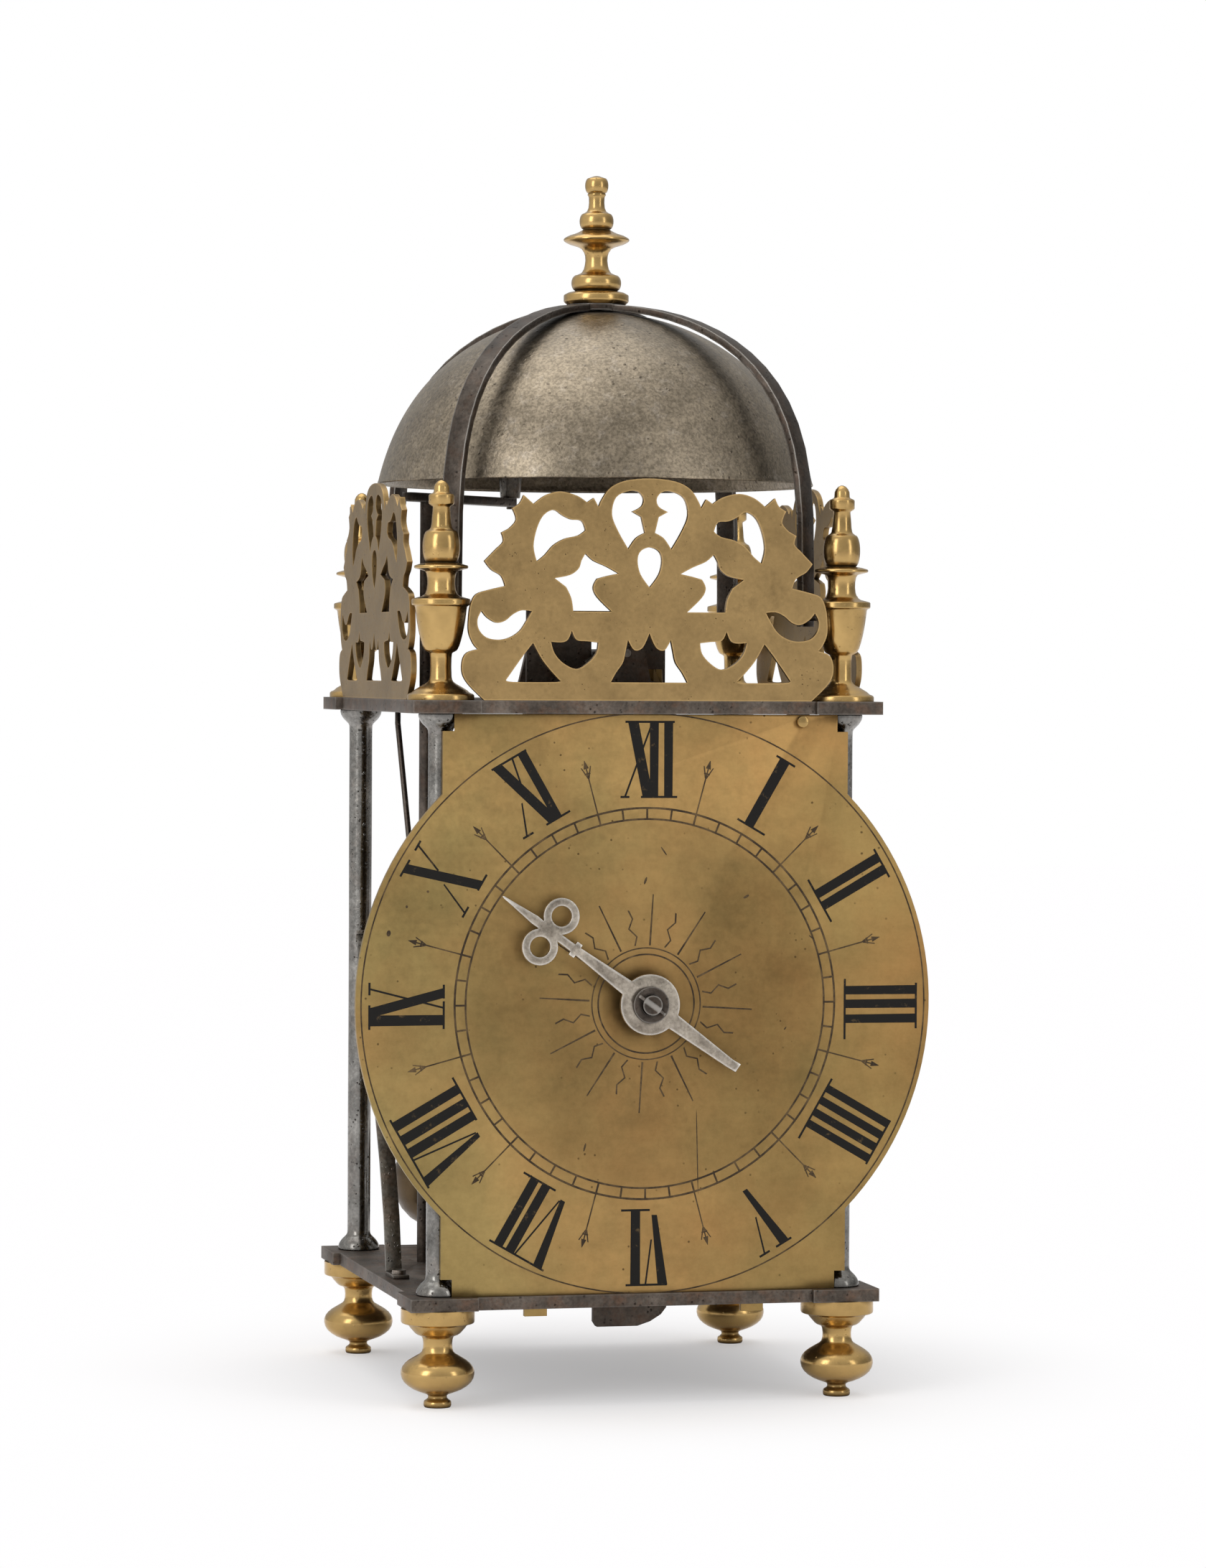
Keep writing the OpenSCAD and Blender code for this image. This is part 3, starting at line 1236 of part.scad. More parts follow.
// A leaf spring screwed to the bottom plate, with a curl that bears on the hammer's tail
module hammer_spring() {
  curl = [tail_end[1] + 5.1, tail_z + 1.5];
  path = [[spring_foot_y, z_floor + spring_t], [spring_foot_y + 4, z_floor + 18],
    [spring_foot_y + 11, z_floor + 35], [spring_foot_y + 19, z_floor + 50],
    [spring_foot_y + 30, z_floor + 64], [curl[0] - 10, tail_z - 26], [curl[0] - 4, tail_z - 13],
    [curl[0] - 0.8, tail_z - 0.7]];
  in_frame() color(steel) translate([spring_x - spring_w / 2, 0, 0]) rotate([90, 0, 90])
    linear_extrude(spring_w) {
      strip(path, spring_t);
      translate(curl) difference() {
        circle(2.8);
        circle(2.8 - spring_t);
        rotate(100) square([4, 4]);
      }
    }
  in_frame() color(steel) difference() {
    block([spring_x - spring_w / 2, spring_foot_y - 12, z_floor + 0.02],
      [spring_x + spring_w / 2, spring_foot_y + 0.5, z_floor + 0.02 + spring_t]);
    rod_z(spring_x, spring_foot_y - 8, z_floor - 1, z_floor + 4, screw_r + fit);
  }
}

module spring_screw() {
  in_frame() color(steel) screw(spring_x, spring_foot_y - 8, z_floor + spring_t + 0.04, plate_t + spring_t);
}

stop_x = -60;
stop_y = 17;
stop_r = 0.9;
stop_lean = 27.3;

// A thin rod that hangs from the top plate in front of the hammer arbor
module hammer_stop() {
  bend = z_ceil - 4;
  in_frame() color(iron) {
    rod_z(stop_x, stop_y, bend - 0.3, z_top, stop_r);
    translate([stop_x, stop_y + 0.2, bend + 0.4]) rotate([180 - stop_lean, 0, 0]) cylinder(h = 41, r = stop_r);
  }
}

bottom_plate();
top_plate();
pillar_fl();
pillar_fr();
pillar_rl();
pillar_rr();
foot_fl();
foot_fr();
foot_rl();
foot_rr();
corner_finial_fl();
corner_finial_fr();
corner_finial_rl();
corner_finial_rr();
front_fret();
left_fret();
right_fret();
fret_screws();
bell();
bell_strap();
top_finial();
bell_nut();
dial_plate();
dial_stud();
hour_hand();
hand_collet();
front_bar();
middle_bar();
rear_bar();
bar_wedges();
hour_wheel();
going_great_wheel();
going_pulley();
going_second_wheel();
contrate_wheel();
crown_wheel();
crown_potence();
verge();
verge_front_cock();
verge_bridge();
verge_back_cock();
cock_screws();
pendulum_rod();
pendulum_bob();
rating_nut();
strike_great_wheel();
strike_pulley();
hoop_wheel();
warning_wheel();
fly();
count_wheel();
lifting_piece();
locking_piece();
hammer();
hammer_head();
hammer_spring();
hammer_stop();
spring_screw();
lifting_pins();
strike_hoop();
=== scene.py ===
"""Lantern clock: fine forms, finishes, floor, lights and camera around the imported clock.

Everything is in metres in the clock's own frame: +X to the right of someone facing the dial, +Y from
the dial back to the pendulum, +Z up. Profiles and dial marks are written in millimetres.
"""

import json
import math

import bmesh
import bpy
from mathutils import Matrix, Vector

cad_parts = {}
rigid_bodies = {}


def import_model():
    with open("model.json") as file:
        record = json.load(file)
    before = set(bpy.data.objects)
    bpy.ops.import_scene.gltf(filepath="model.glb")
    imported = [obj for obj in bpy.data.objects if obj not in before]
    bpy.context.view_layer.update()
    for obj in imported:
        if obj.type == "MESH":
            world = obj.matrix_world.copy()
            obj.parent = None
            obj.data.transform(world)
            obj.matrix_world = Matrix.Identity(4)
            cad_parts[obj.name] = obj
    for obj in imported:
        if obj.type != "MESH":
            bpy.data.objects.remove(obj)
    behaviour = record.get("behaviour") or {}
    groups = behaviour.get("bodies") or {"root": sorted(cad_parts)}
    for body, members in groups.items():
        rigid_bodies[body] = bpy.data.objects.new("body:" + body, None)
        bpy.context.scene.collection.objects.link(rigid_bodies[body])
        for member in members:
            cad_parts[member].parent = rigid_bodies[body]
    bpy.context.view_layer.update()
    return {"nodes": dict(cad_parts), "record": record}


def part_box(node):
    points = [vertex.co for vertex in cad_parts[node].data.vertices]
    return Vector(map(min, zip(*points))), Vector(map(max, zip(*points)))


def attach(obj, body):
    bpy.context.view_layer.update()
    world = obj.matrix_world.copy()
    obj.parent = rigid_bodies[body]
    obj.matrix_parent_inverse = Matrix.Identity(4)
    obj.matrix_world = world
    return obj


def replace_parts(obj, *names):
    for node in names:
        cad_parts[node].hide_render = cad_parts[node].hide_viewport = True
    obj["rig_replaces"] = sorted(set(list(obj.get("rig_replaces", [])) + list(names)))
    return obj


bl_info = {
    "name": "Lantern Clock",
    "version": (1, 0, 0),
    "blender": (4, 5, 0),
    "location": "View3D > Sidebar > Clock",
    "description": "Builds the looks of a lantern clock around its packed frame",
    "category": "Add Mesh",
}

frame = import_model()
NODES = frame["nodes"]
MM = 0.001
TINY = 0.000001


def middle_of(node):
    """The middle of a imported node, as seen from above."""
    low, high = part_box(node)
    return (low.x + high.x) / 2, (low.y + high.y) / 2


# Levels and centres that the pieces share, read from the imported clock
PLATE_LOW, PLATE_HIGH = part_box("bottom_plate")
FLOOR_Z = PLATE_HIGH.z
TOP_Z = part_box("top_plate")[1].z
CEIL_Z = TOP_Z - (PLATE_HIGH.z - PLATE_LOW.z)
PILLARS = {corner: middle_of("pillar_" + corner) for corner in ("fl", "fr", "rl", "rr")}
DIAL_FACE_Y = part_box("dial_plate")[0].y
DIAL_Z = (FLOOR_Z + CEIL_Z) / 2


# Settings


class ClockSizes(bpy.types.PropertyGroup):
    """Small sizes of the fine forms."""

    edge_wear: bpy.props.FloatProperty(
        name="Edge Wear",
        description="Width of the worn edge on plates and bars",
        default=0.0004,
        min=0.0001,
        max=0.001,
        unit="LENGTH",
    )
    fret_edge: bpy.props.FloatProperty(
        name="Fret Edge",
        description="Width of the rounded edge round the frets' leaves",
        default=0.00045,
        min=0.0001,
        max=0.0006,
        unit="LENGTH",
    )
    hand_edge: bpy.props.FloatProperty(
        name="Hand Edge",
        description="Width of the filed edge round the hour hand",
        default=0.0007,
        min=0.0001,
        max=0.0007,
        unit="LENGTH",
    )
    line_width: bpy.props.FloatProperty(
        name="Engraved Line",
        description="Width of the dial's engraved circles and marks",
        default=0.0005,
        min=0.0002,
        max=0.001,
        unit="LENGTH",
    )
    mark_height: bpy.props.FloatProperty(
        name="Wax Height",
        description="How far the black wax of the dial's marks stands over the brass",
        default=0.00004,
        min=0.00001,
        max=0.0002,
        unit="LENGTH",
    )


class ClockColours(bpy.types.PropertyGroup):
    """Main colours of the finishes."""

    dial_brass: bpy.props.FloatVectorProperty(
        name="Dial Brass",
        description="Colour of the dial's satin brass",
        default=(0.455, 0.31, 0.126),
        min=0.0,
        max=1.0,
        size=3,
        subtype="COLOR",
    )
    turned_brass: bpy.props.FloatVectorProperty(
        name="Turned Brass",
        description="Colour of the feet and finials",
        default=(0.52, 0.345, 0.135),
        min=0.0,
        max=1.0,
        size=3,
        subtype="COLOR",
    )
    fret_brass: bpy.props.FloatVectorProperty(
        name="Fret Brass",
        description="Colour of the pierced frets",
        default=(0.43, 0.288, 0.124),
        min=0.0,
        max=1.0,
        size=3,
        subtype="COLOR",
    )
    bell_metal: bpy.props.FloatVectorProperty(
        name="Bell Metal",
        description="Colour of the bell under its mottled skin",
        default=(0.285, 0.238, 0.175),
        min=0.0,
        max=1.0,
        size=3,
        subtype="COLOR",
    )
    iron: bpy.props.FloatVectorProperty(
        name="Iron",
        description="Colour of the plates, pillars, strap and bars",
        default=(0.15, 0.125, 0.105),
        min=0.0,
        max=1.0,
        size=3,
        subtype="COLOR",
    )
    wax: bpy.props.FloatVectorProperty(
        name="Black Wax",
        description="Colour of the wax in the numerals and lines",
        default=(0.012, 0.011, 0.010),
        min=0.0,
        max=1.0,
        size=3,
        subtype="COLOR",
    )


def sizes():
    return bpy.context.scene.clock_sizes


def colours():
    return bpy.context.scene.clock_colours


# Working with meshes


def deselect():
    """Leaves edit mode and selects nothing."""
    if bpy.context.object and bpy.context.object.mode != "OBJECT":
        bpy.ops.object.mode_set(mode="OBJECT")
    bpy.ops.object.select_all(action="DESELECT")


def choose(obj):
    """Makes one object the selected and active one."""
    deselect()
    obj.select_set(True)
    bpy.context.view_layer.objects.active = obj


def edit(obj, kind="VERT"):
    """Enters edit mode on one object."""
    choose(obj)
    bpy.ops.object.mode_set(mode="EDIT")
    bpy.ops.mesh.select_mode(type=kind)


def pick(obj, test, kind="VERT"):
    """In edit mode, selects the vertices or faces for which test holds, and nothing else."""
    mesh = bmesh.from_edit_mesh(obj.data)
    bpy.ops.mesh.select_all(action="DESELECT")
    for item in mesh.verts if kind == "VERT" else mesh.faces:
        item.select_set(test(item))
    mesh.select_flush_mode()
    bmesh.update_edit_mesh(obj.data)


def modify(obj, kind, **settings):
    """Adds a modifier, sets it up and applies it."""
    choose(obj)
    modifier = obj.modifiers.new(kind.title(), kind)
    for key, value in settings.items():
        setattr(modifier, key, value)
    bpy.ops.object.modifier_apply(modifier=modifier.name)


def settle(obj):
    """Puts an object's place into its mesh and points its faces outwards."""
    choose(obj)
    bpy.ops.object.transform_apply(location=True, rotation=True, scale=True)
    bpy.ops.object.mode_set(mode="EDIT")
    bpy.ops.mesh.select_all(action="SELECT")
    bpy.ops.mesh.remove_doubles(threshold=TINY)
    bpy.ops.mesh.normals_make_consistent(inside=False)
    bpy.ops.object.mode_set(mode="OBJECT")


def smooth(obj, degrees):
    """Shades an object smooth but keeps the edges sharper than an angle."""
    choose(obj)
    bpy.ops.object.shade_smooth_by_angle(angle=math.radians(degrees))


def place_piece(obj, name, slot, stands_for=(), body="frame", look=None):
    """Names a finished piece, gives it its slot's finish or another look, and fixes it to its body."""
    obj.name = name
    obj.data.name = name
    obj.data.materials.clear()
    obj.data.materials.append(finish_for(look or slot))
    for polygon in obj.data.polygons:
        polygon.material_index = 0
    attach(obj, body)
    if stands_for:
        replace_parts(obj, *stands_for)


def copy_piece(obj, offset):
    """A copy with a mesh of its own, moved by offset."""
    twin = bpy.data.objects.new(obj.name + "_copy", obj.data.copy())
    bpy.context.collection.objects.link(twin)
    twin.location = offset
    choose(twin)
    bpy.ops.object.transform_apply(location=True, rotation=True, scale=True)
    return twin


def bead(neck, belly, low, high, steps):
    """Rings of a round bead between two heights, from the neck's radius out to the belly's."""
    rings = []
    for i in range(steps + 1):
        angle = math.pi * i / steps
        height = low + (high - low) * (1 - math.cos(angle)) / 2
        rings.append((neck + (belly - neck) * math.sin(angle), height))
    return rings


# A profile's corner is left alone when it is flatter than this, in degrees, and a bevel takes at most
# this share of the shorter side next to it
FLAT_CORNER = 150
CUT_SHARE = 0.35


def eased(points, width=0.25):
    """Breaks each sharp corner of a profile with a narrow bevel."""
    rings = [points[0]]
    for before, here, after in zip(points, points[1:], points[2:]):
        back = Vector(before) - Vector(here)
        onward = Vector(after) - Vector(here)
        if min(back.length, onward.length) < TINY:
            continue
        if math.degrees(back.angle(onward)) > FLAT_CORNER:
            rings.append(here)
            continue
        cut = min(width, CUT_SHARE * back.length, CUT_SHARE * onward.length)
        rings.append(tuple(Vector(here) + back.normalized() * cut))
        rings.append(tuple(Vector(here) + onward.normalized() * cut))
    rings.append(points[-1])
    return rings


def turned(profile, x, y, z, sides=72, degrees=32, shell=False):
    """A circle extruded and scaled ring by ring up its profile, into a solid or an open shell."""
    deselect()
    radius, height = profile[0]
    bpy.ops.mesh.primitive_circle_add(
        vertices=sides,
        radius=radius * MM,
        fill_type="NOTHING" if shell else "NGON",
        location=(x, y, z + height * MM),
    )
    obj = bpy.context.object
    edit(obj, "EDGE" if shell else "FACE")
    bpy.ops.mesh.select_all(action="SELECT")
    extrude = bpy.ops.mesh.extrude_edges_move if shell else bpy.ops.mesh.extrude_region_move
    for ring_radius, ring_height in profile[1:]:
        extrude(TRANSFORM_OT_translate={"value": (0, 0, (ring_height - height) * MM)})
        scale = ring_radius / radius
        bpy.ops.transform.resize(
            value=(scale, scale, 1), center_override=(x, y, z + ring_height * MM)
        )
        radius, height = ring_radius, ring_height
    settle(obj)
    if not shell:
        smooth(obj, degrees)
    return obj


def turn_four(profile, level, name, slot, node, **turning):
    """Turns a piece at the front left pillar, copies it to the other three and places all four."""
    x, y = PILLARS["fl"]
    first = turned(profile, x, y, level, **turning)
    for corner, (px, py) in PILLARS.items():
        piece = first if corner == "fl" else copy_piece(first, (px - x, py - y, 0))
        place_piece(piece, name + corner, slot, [node + corner])


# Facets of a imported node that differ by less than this, in degrees, are one face before its edges soften
FLAT_FACETS = 0.4


def softened(node, width, segments=2, bevel_angle=35, smooth_angle=40, **bevel):
    """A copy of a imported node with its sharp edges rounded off."""
    obj = bpy.data.objects.new(node + "_soft", NODES[node].data.copy())
    bpy.context.collection.objects.link(obj)
    choose(obj)
    if obj.data.has_custom_normals:
        bpy.ops.mesh.customdata_custom_splitnormals_clear()
    edit(obj)
    bpy.ops.mesh.select_all(action="SELECT")
    bpy.ops.mesh.remove_doubles(threshold=TINY)
    bpy.ops.mesh.dissolve_limited(angle_limit=math.radians(FLAT_FACETS))
    bpy.ops.object.mode_set(mode="OBJECT")
    if width:
        modify(
            obj,
            "BEVEL",
            width=width,
            segments=segments,
            limit_method="ANGLE",
            angle_limit=math.radians(bevel_angle),
            use_clamp_overlap=True,
            **bevel,
        )
    smooth(obj, smooth_angle)
    return obj


def soften(node, name, slot, width, body="frame", **bevel):
    """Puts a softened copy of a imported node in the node's place."""
    place_piece(softened(node, width, **bevel), name, slot, [node], body)


# Materials


class Graph:
    """A tree of shader nodes under construction."""

    def __init__(self, owner):
        owner.use_nodes = True
        self.tree = owner.node_tree
        self.tree.nodes.clear()

    def add(self, kind, sockets=None, **settings):
        """Adds a node, sets it up and feeds its sockets."""
        node = self.tree.nodes.new("ShaderNode" + kind)
        for key, value in settings.items():
            setattr(node, key, value)
        for key, value in (sockets or {}).items():
            self.feed(node.inputs[key], value)
        return node

    def feed(self, socket, value):
        """Links a socket to another, or sets its number, vector or colour."""
        if isinstance(value, bpy.types.NodeSocket):
            self.tree.links.new(value, socket)
        elif hasattr(value, "__len__") and len(value) == 3 and len(socket.default_value) == 4:
            socket.default_value = (*value, 1.0)
        else:
            socket.default_value = value

    def times(self, a, b):
        return self.add("Math", {0: a, 1: b}, operation="MULTIPLY").outputs[0]

    def plus(self, a, b):
        return self.add("Math", {0: a, 1: b}, operation="ADD").outputs[0]

    def spread(self, value, start, end, low=0.0, high=1.0, curve="LINEAR"):
        """Goes from low to high while a value goes from start to end."""
        sockets = {"Value": value, "From Min": start, "From Max": end, "To Min": low, "To Max": high}
        return self.add("MapRange", sockets, interpolation_type=curve).outputs[0]

    def show(self, output, share, lit, seen):
        """Ends in a lit surface that the camera alone sees, by a share, as another one."""
        camera = self.add("LightPath").outputs["Is Camera Ray"]
        both = self.add("MixShader", {0: self.times(share, camera), 1: lit, 2: seen})
        self.add(output, {"Surface": both.outputs[0]})


class Finish(Graph):
    """One material under construction: a principled shader and the nodes that feed it."""

    def __init__(self, name, metallic=1.0):
        self.material = bpy.data.materials.new(name)
        super().__init__(self.material)
        self.shader = self.add("BsdfPrincipled", {"Metallic": metallic})
        self.add("OutputMaterial", {"Surface": self.shader.outputs[0]})
        self.place = self.add("TexCoord").outputs["Object"]

    def mapped(self, stretch=(1, 1, 1), shift=(0, 0, 0), turn=(0, 0, 0)):
        sockets = {"Vector": self.place, "Scale": stretch, "Location": shift, "Rotation": turn}
        return self.add("Mapping", sockets).outputs[0]

    def noise(self, scale, detail=4.0, rough=0.55, distort=0.0, **mapping):
        place = self.mapped(**mapping) if mapping else self.place
        sockets = {"Vector": place, "Scale": scale, "Detail": detail, "Roughness": rough}
        return self.add("TexNoise", {**sockets, "Distortion": distort}).outputs[0]

    def cells(self, scale, **mapping):
        place = self.mapped(**mapping) if mapping else self.place
        return self.add("TexVoronoi", {"Vector": place, "Scale": scale}).outputs["Distance"]

    def ramp(self, value, stops):
        """Turns a value into greys or colours, with a stop at each of the places."""
        node = self.add("ValToRGB", {"Fac": value})
        elements = node.color_ramp.elements
        while len(elements) < len(stops):
            elements.new(0.5)
        for element, (at, shade) in zip(elements, stops):
            element.position = at
            element.color = (shade, shade, shade, 1) if isinstance(shade, (int, float)) else (*shade, 1)
        return node.outputs[0]

    def rises(self, value, low, high):
        """Goes from 0 to 1 while a value goes from low to high."""
        return self.ramp(value, [(low, 0.0), (high, 1.0)])

    def falls(self, value, low, high):
        """Goes from 1 to 0 while a value goes from low to high."""
        return self.ramp(value, [(low, 1.0), (high, 0.0)])

    def patchy(self, value, colour, *stops):
        """A colour in patches, each stop a place and how dark or light the colour is there."""
        return self.ramp(value, [(at, shade(colour, factor)) for at, factor in stops])

    def blend(self, amount, under, over, kind="MIX"):
        node = self.add("Mix", data_type="RGBA", blend_type=kind)
        self.feed(node.inputs[0], amount)
        self.feed(node.inputs[6], under)
        self.feed(node.inputs[7], over)
        return node.outputs[2]

    def laid(self, tone, cover, mask, share):
        """Lays a cover over the tone where the mask is 1, by a share of its strength."""
        return self.blend(self.times(mask, share), tone, cover)

    def dimmed(self, tone, by, share=1.0):
        """Multiplies the tone by a grey or a tint, by a share of its strength."""
        return self.blend(share, tone, by, "MULTIPLY")

    def specks(self, cells, holes, patches, where):
        """Pits in the middles of cells, between two distances, and only where there are patches."""
        return self.times(self.falls(cells, *holes), self.rises(patches, *where))

    def occlusion(self, reach, **settings):
        return self.add("AmbientOcclusion", {"Distance": reach}, samples=8, **settings).outputs["AO"]

    def crevice_grime_and_shade(self, reach, low, high):
        """1 deep in a corner and 0 in the open: the mask of dirt and of painted shade in corners."""
        return self.falls(self.occlusion(reach), low, high)

    def edges(self, reach):
        """1 along a sharp outer edge and 0 on a flat: the mask of rubbed edges and of painted highlights on
        them.
        """
        return self.falls(self.occlusion(reach, inside=True), 0.55, 0.88)

    def along(self, axis):
        return self.add("SeparateXYZ", {0: self.place}).outputs[axis]

    def relief(self, height, depth, strength=1.0, under=None):
        """Raises and sinks the surface by a height, over another relief if there is one."""
        node = self.add("Bump", {"Height": height, "Distance": depth, "Strength": strength})
        if under:
            self.feed(node.inputs["Normal"], under)
        return node.outputs[0]

    def done(self, colour, roughness, normal=None):
        self.feed(self.shader.inputs["Base Color"], colour)
        self.feed(self.shader.inputs["Roughness"], roughness)
        if normal:
            self.feed(self.shader.inputs["Normal"], normal)
        return self.material


def shade(colour, factor):
    """A colour made darker or lighter."""
    return tuple(min(1.0, c * factor) for c in colour)


# Dirt, pits and rubbed metal, with painted shade in corners and on the pendulum's bob, and painted highlights
# on edges and in the bell's grain
# Brown dirt and painted shade in the corners of brass, also the colour of its pits
BRASS_GRIME_AND_SHADE = (0.035, 0.022, 0.012)
DIAL_PITS = (0.045, 0.028, 0.014)
BELL_PITS = (0.05, 0.038, 0.028)
BELL_BLOOM = (0.42, 0.37, 0.31)
# Dirt and painted shade in the bell's hollows
BELL_GRIME_AND_SHADE = (0.03, 0.022, 0.016)
IRON_PITS = (0.016, 0.012, 0.010)
# Dirt and painted shade in the corners of iron and steel
IRON_GRIME_AND_SHADE = (0.020, 0.015, 0.012)
# Lighter rubbed iron edges, partly a painted highlight
RUBBED_IRON_AND_HIGHLIGHT = (0.42, 0.40, 0.37)
RUST_TINT = (1.25, 0.86, 0.66)
PILLAR_IRON = (0.27, 0.262, 0.245)
# Brass darkened as painted shade, for the pendulum's bob that hangs behind the clock
PULLEY_BRASS_IN_PAINTED_SHADE = (0.105, 0.072, 0.040)
ARBOR_STEEL = (0.24, 0.225, 0.20)
SCREW_STEEL = (0.30, 0.28, 0.25)
HAND_DARK = (0.24, 0.205, 0.165)
HAND_PALE = (0.56, 0.50, 0.42)
# Dirt and painted shade in the hand's corners
HAND_GRIME_AND_SHADE = (0.030, 0.022, 0.015)
# Bright filed edges of the hand, partly a painted highlight
FILED_EDGE_AND_HIGHLIGHT = (0.80, 0.77, 0.72)
BARE_UNDER_WAX = (0.15, 0.10, 0.045)
LINE_BROWN = (0.036, 0.024, 0.014)
LINE_BRASS = (0.17, 0.11, 0.05)


def aged_brass(name, colour, polish, grime_and_shade_reach=0.003, pits=0.3, rubbed_edge_and_highlight=0.0, grain=1.0):
    """Old brass: uneven tone, fine scratches, brown dirt and painted shade in the corners, small pits, and
    rubbed edges that are partly a painted highlight.
    """
    f = Finish(name)
    fine = f.noise(700, 5, 0.6, shift=(0.3, 0.1, 0.7))
    tone = f.patchy(f.noise(60, 6, 0.6), colour, (0.30, 0.78), (0.52, 1.0), (0.72, 1.16))
    tone = f.dimmed(tone, f.ramp(fine, [(0.3, 0.62), (0.7, 1.0)]), 0.35 * grain)
    stain = f.rises(f.noise(95, 7, 0.7, shift=(1.3, 0.4, 0.2)), 0.56, 0.72)
    tone = f.laid(tone, shade(colour, 0.42), stain, 0.45)
    spots = f.specks(f.cells(620, shift=(0.2, 0.7, 0.1)), (0.10, 0.20), f.noise(180, 3), (0.52, 0.60))
    tone = f.laid(tone, BRASS_GRIME_AND_SHADE, spots, pits)
    # Brown dirt and painted shade darken the corners and roughen them
    dirt_and_shade = f.crevice_grime_and_shade(grime_and_shade_reach, 0.30, 0.86)
    tone = f.laid(tone, BRASS_GRIME_AND_SHADE, dirt_and_shade, 0.9)
    gloss = f.plus(f.times(fine, 0.22), polish - 0.08)
    gloss = f.plus(gloss, f.times(dirt_and_shade, 0.3))
    # Edges lightened as rubbed brass, partly a painted highlight
    if rubbed_edge_and_highlight:
        tone = f.laid(tone, shade(colour, 1.7), f.edges(0.0007), rubbed_edge_and_highlight)
    worn = f.relief(f.noise(1500, 3, 0.6, stretch=(1, 1, 3)), 0.00003, 0.5 * grain)
    return f.done(tone, gloss, f.relief(spots, 0.00012, 0.6, worn))


def old_iron(
    name, colour, polish, rust, pit_scale=520, grime_and_shade_reach=0.004, bright=1.7, rubbed_edge_and_highlight=0.0, rough=0.55
):
    """Forged iron: brown and grey patches, speckled pits, dirt and painted shade in the corners, a dull worn
    shine and rubbed edges that are partly a painted highlight.
    """
    f = Finish(name)
    fine = f.noise(900, 5, 0.65, shift=(0.5, 0.2, 0.9))
    tone = f.patchy(f.noise(75, 7, 0.65), colour, (0.30, 0.55), (0.52, 1.0), (0.72, bright))
    brown = tuple(part * tint for part, tint in zip(colour, RUST_TINT))
    stain = f.rises(f.noise(160, 6, 0.7, shift=(0.8, 0.3, 0.6)), 0.48, 0.66)
    tone = f.laid(tone, brown, stain, rust)
    tone = f.dimmed(tone, f.ramp(fine, [(0.36, 0.35), (0.62, 1.0)]), 0.55)
    patches = f.noise(210, 3, shift=(0.4, 0.4, 0.1))
    spots = f.specks(f.cells(pit_scale), (0.12, 0.26), patches, (0.47, 0.56))
    tone = f.laid(tone, IRON_PITS, spots, 0.75)
    # Dirt and painted shade darken the corners
    tone = f.laid(tone, IRON_GRIME_AND_SHADE, f.crevice_grime_and_shade(grime_and_shade_reach, 0.25, 0.80), 0.8)
    gloss = f.plus(f.times(fine, 0.35), polish - 0.15)
    # Edges lightened as rubbed iron, partly a painted highlight
    if rubbed_edge_and_highlight:
        tone = f.laid(tone, RUBBED_IRON_AND_HIGHLIGHT, f.edges(0.0008), rubbed_edge_and_highlight)
    skin = f.relief(f.noise(420, 6, 0.7), 0.00012, rough)
    return f.done(tone, gloss, f.relief(spots, 0.00025, 0.7, skin))


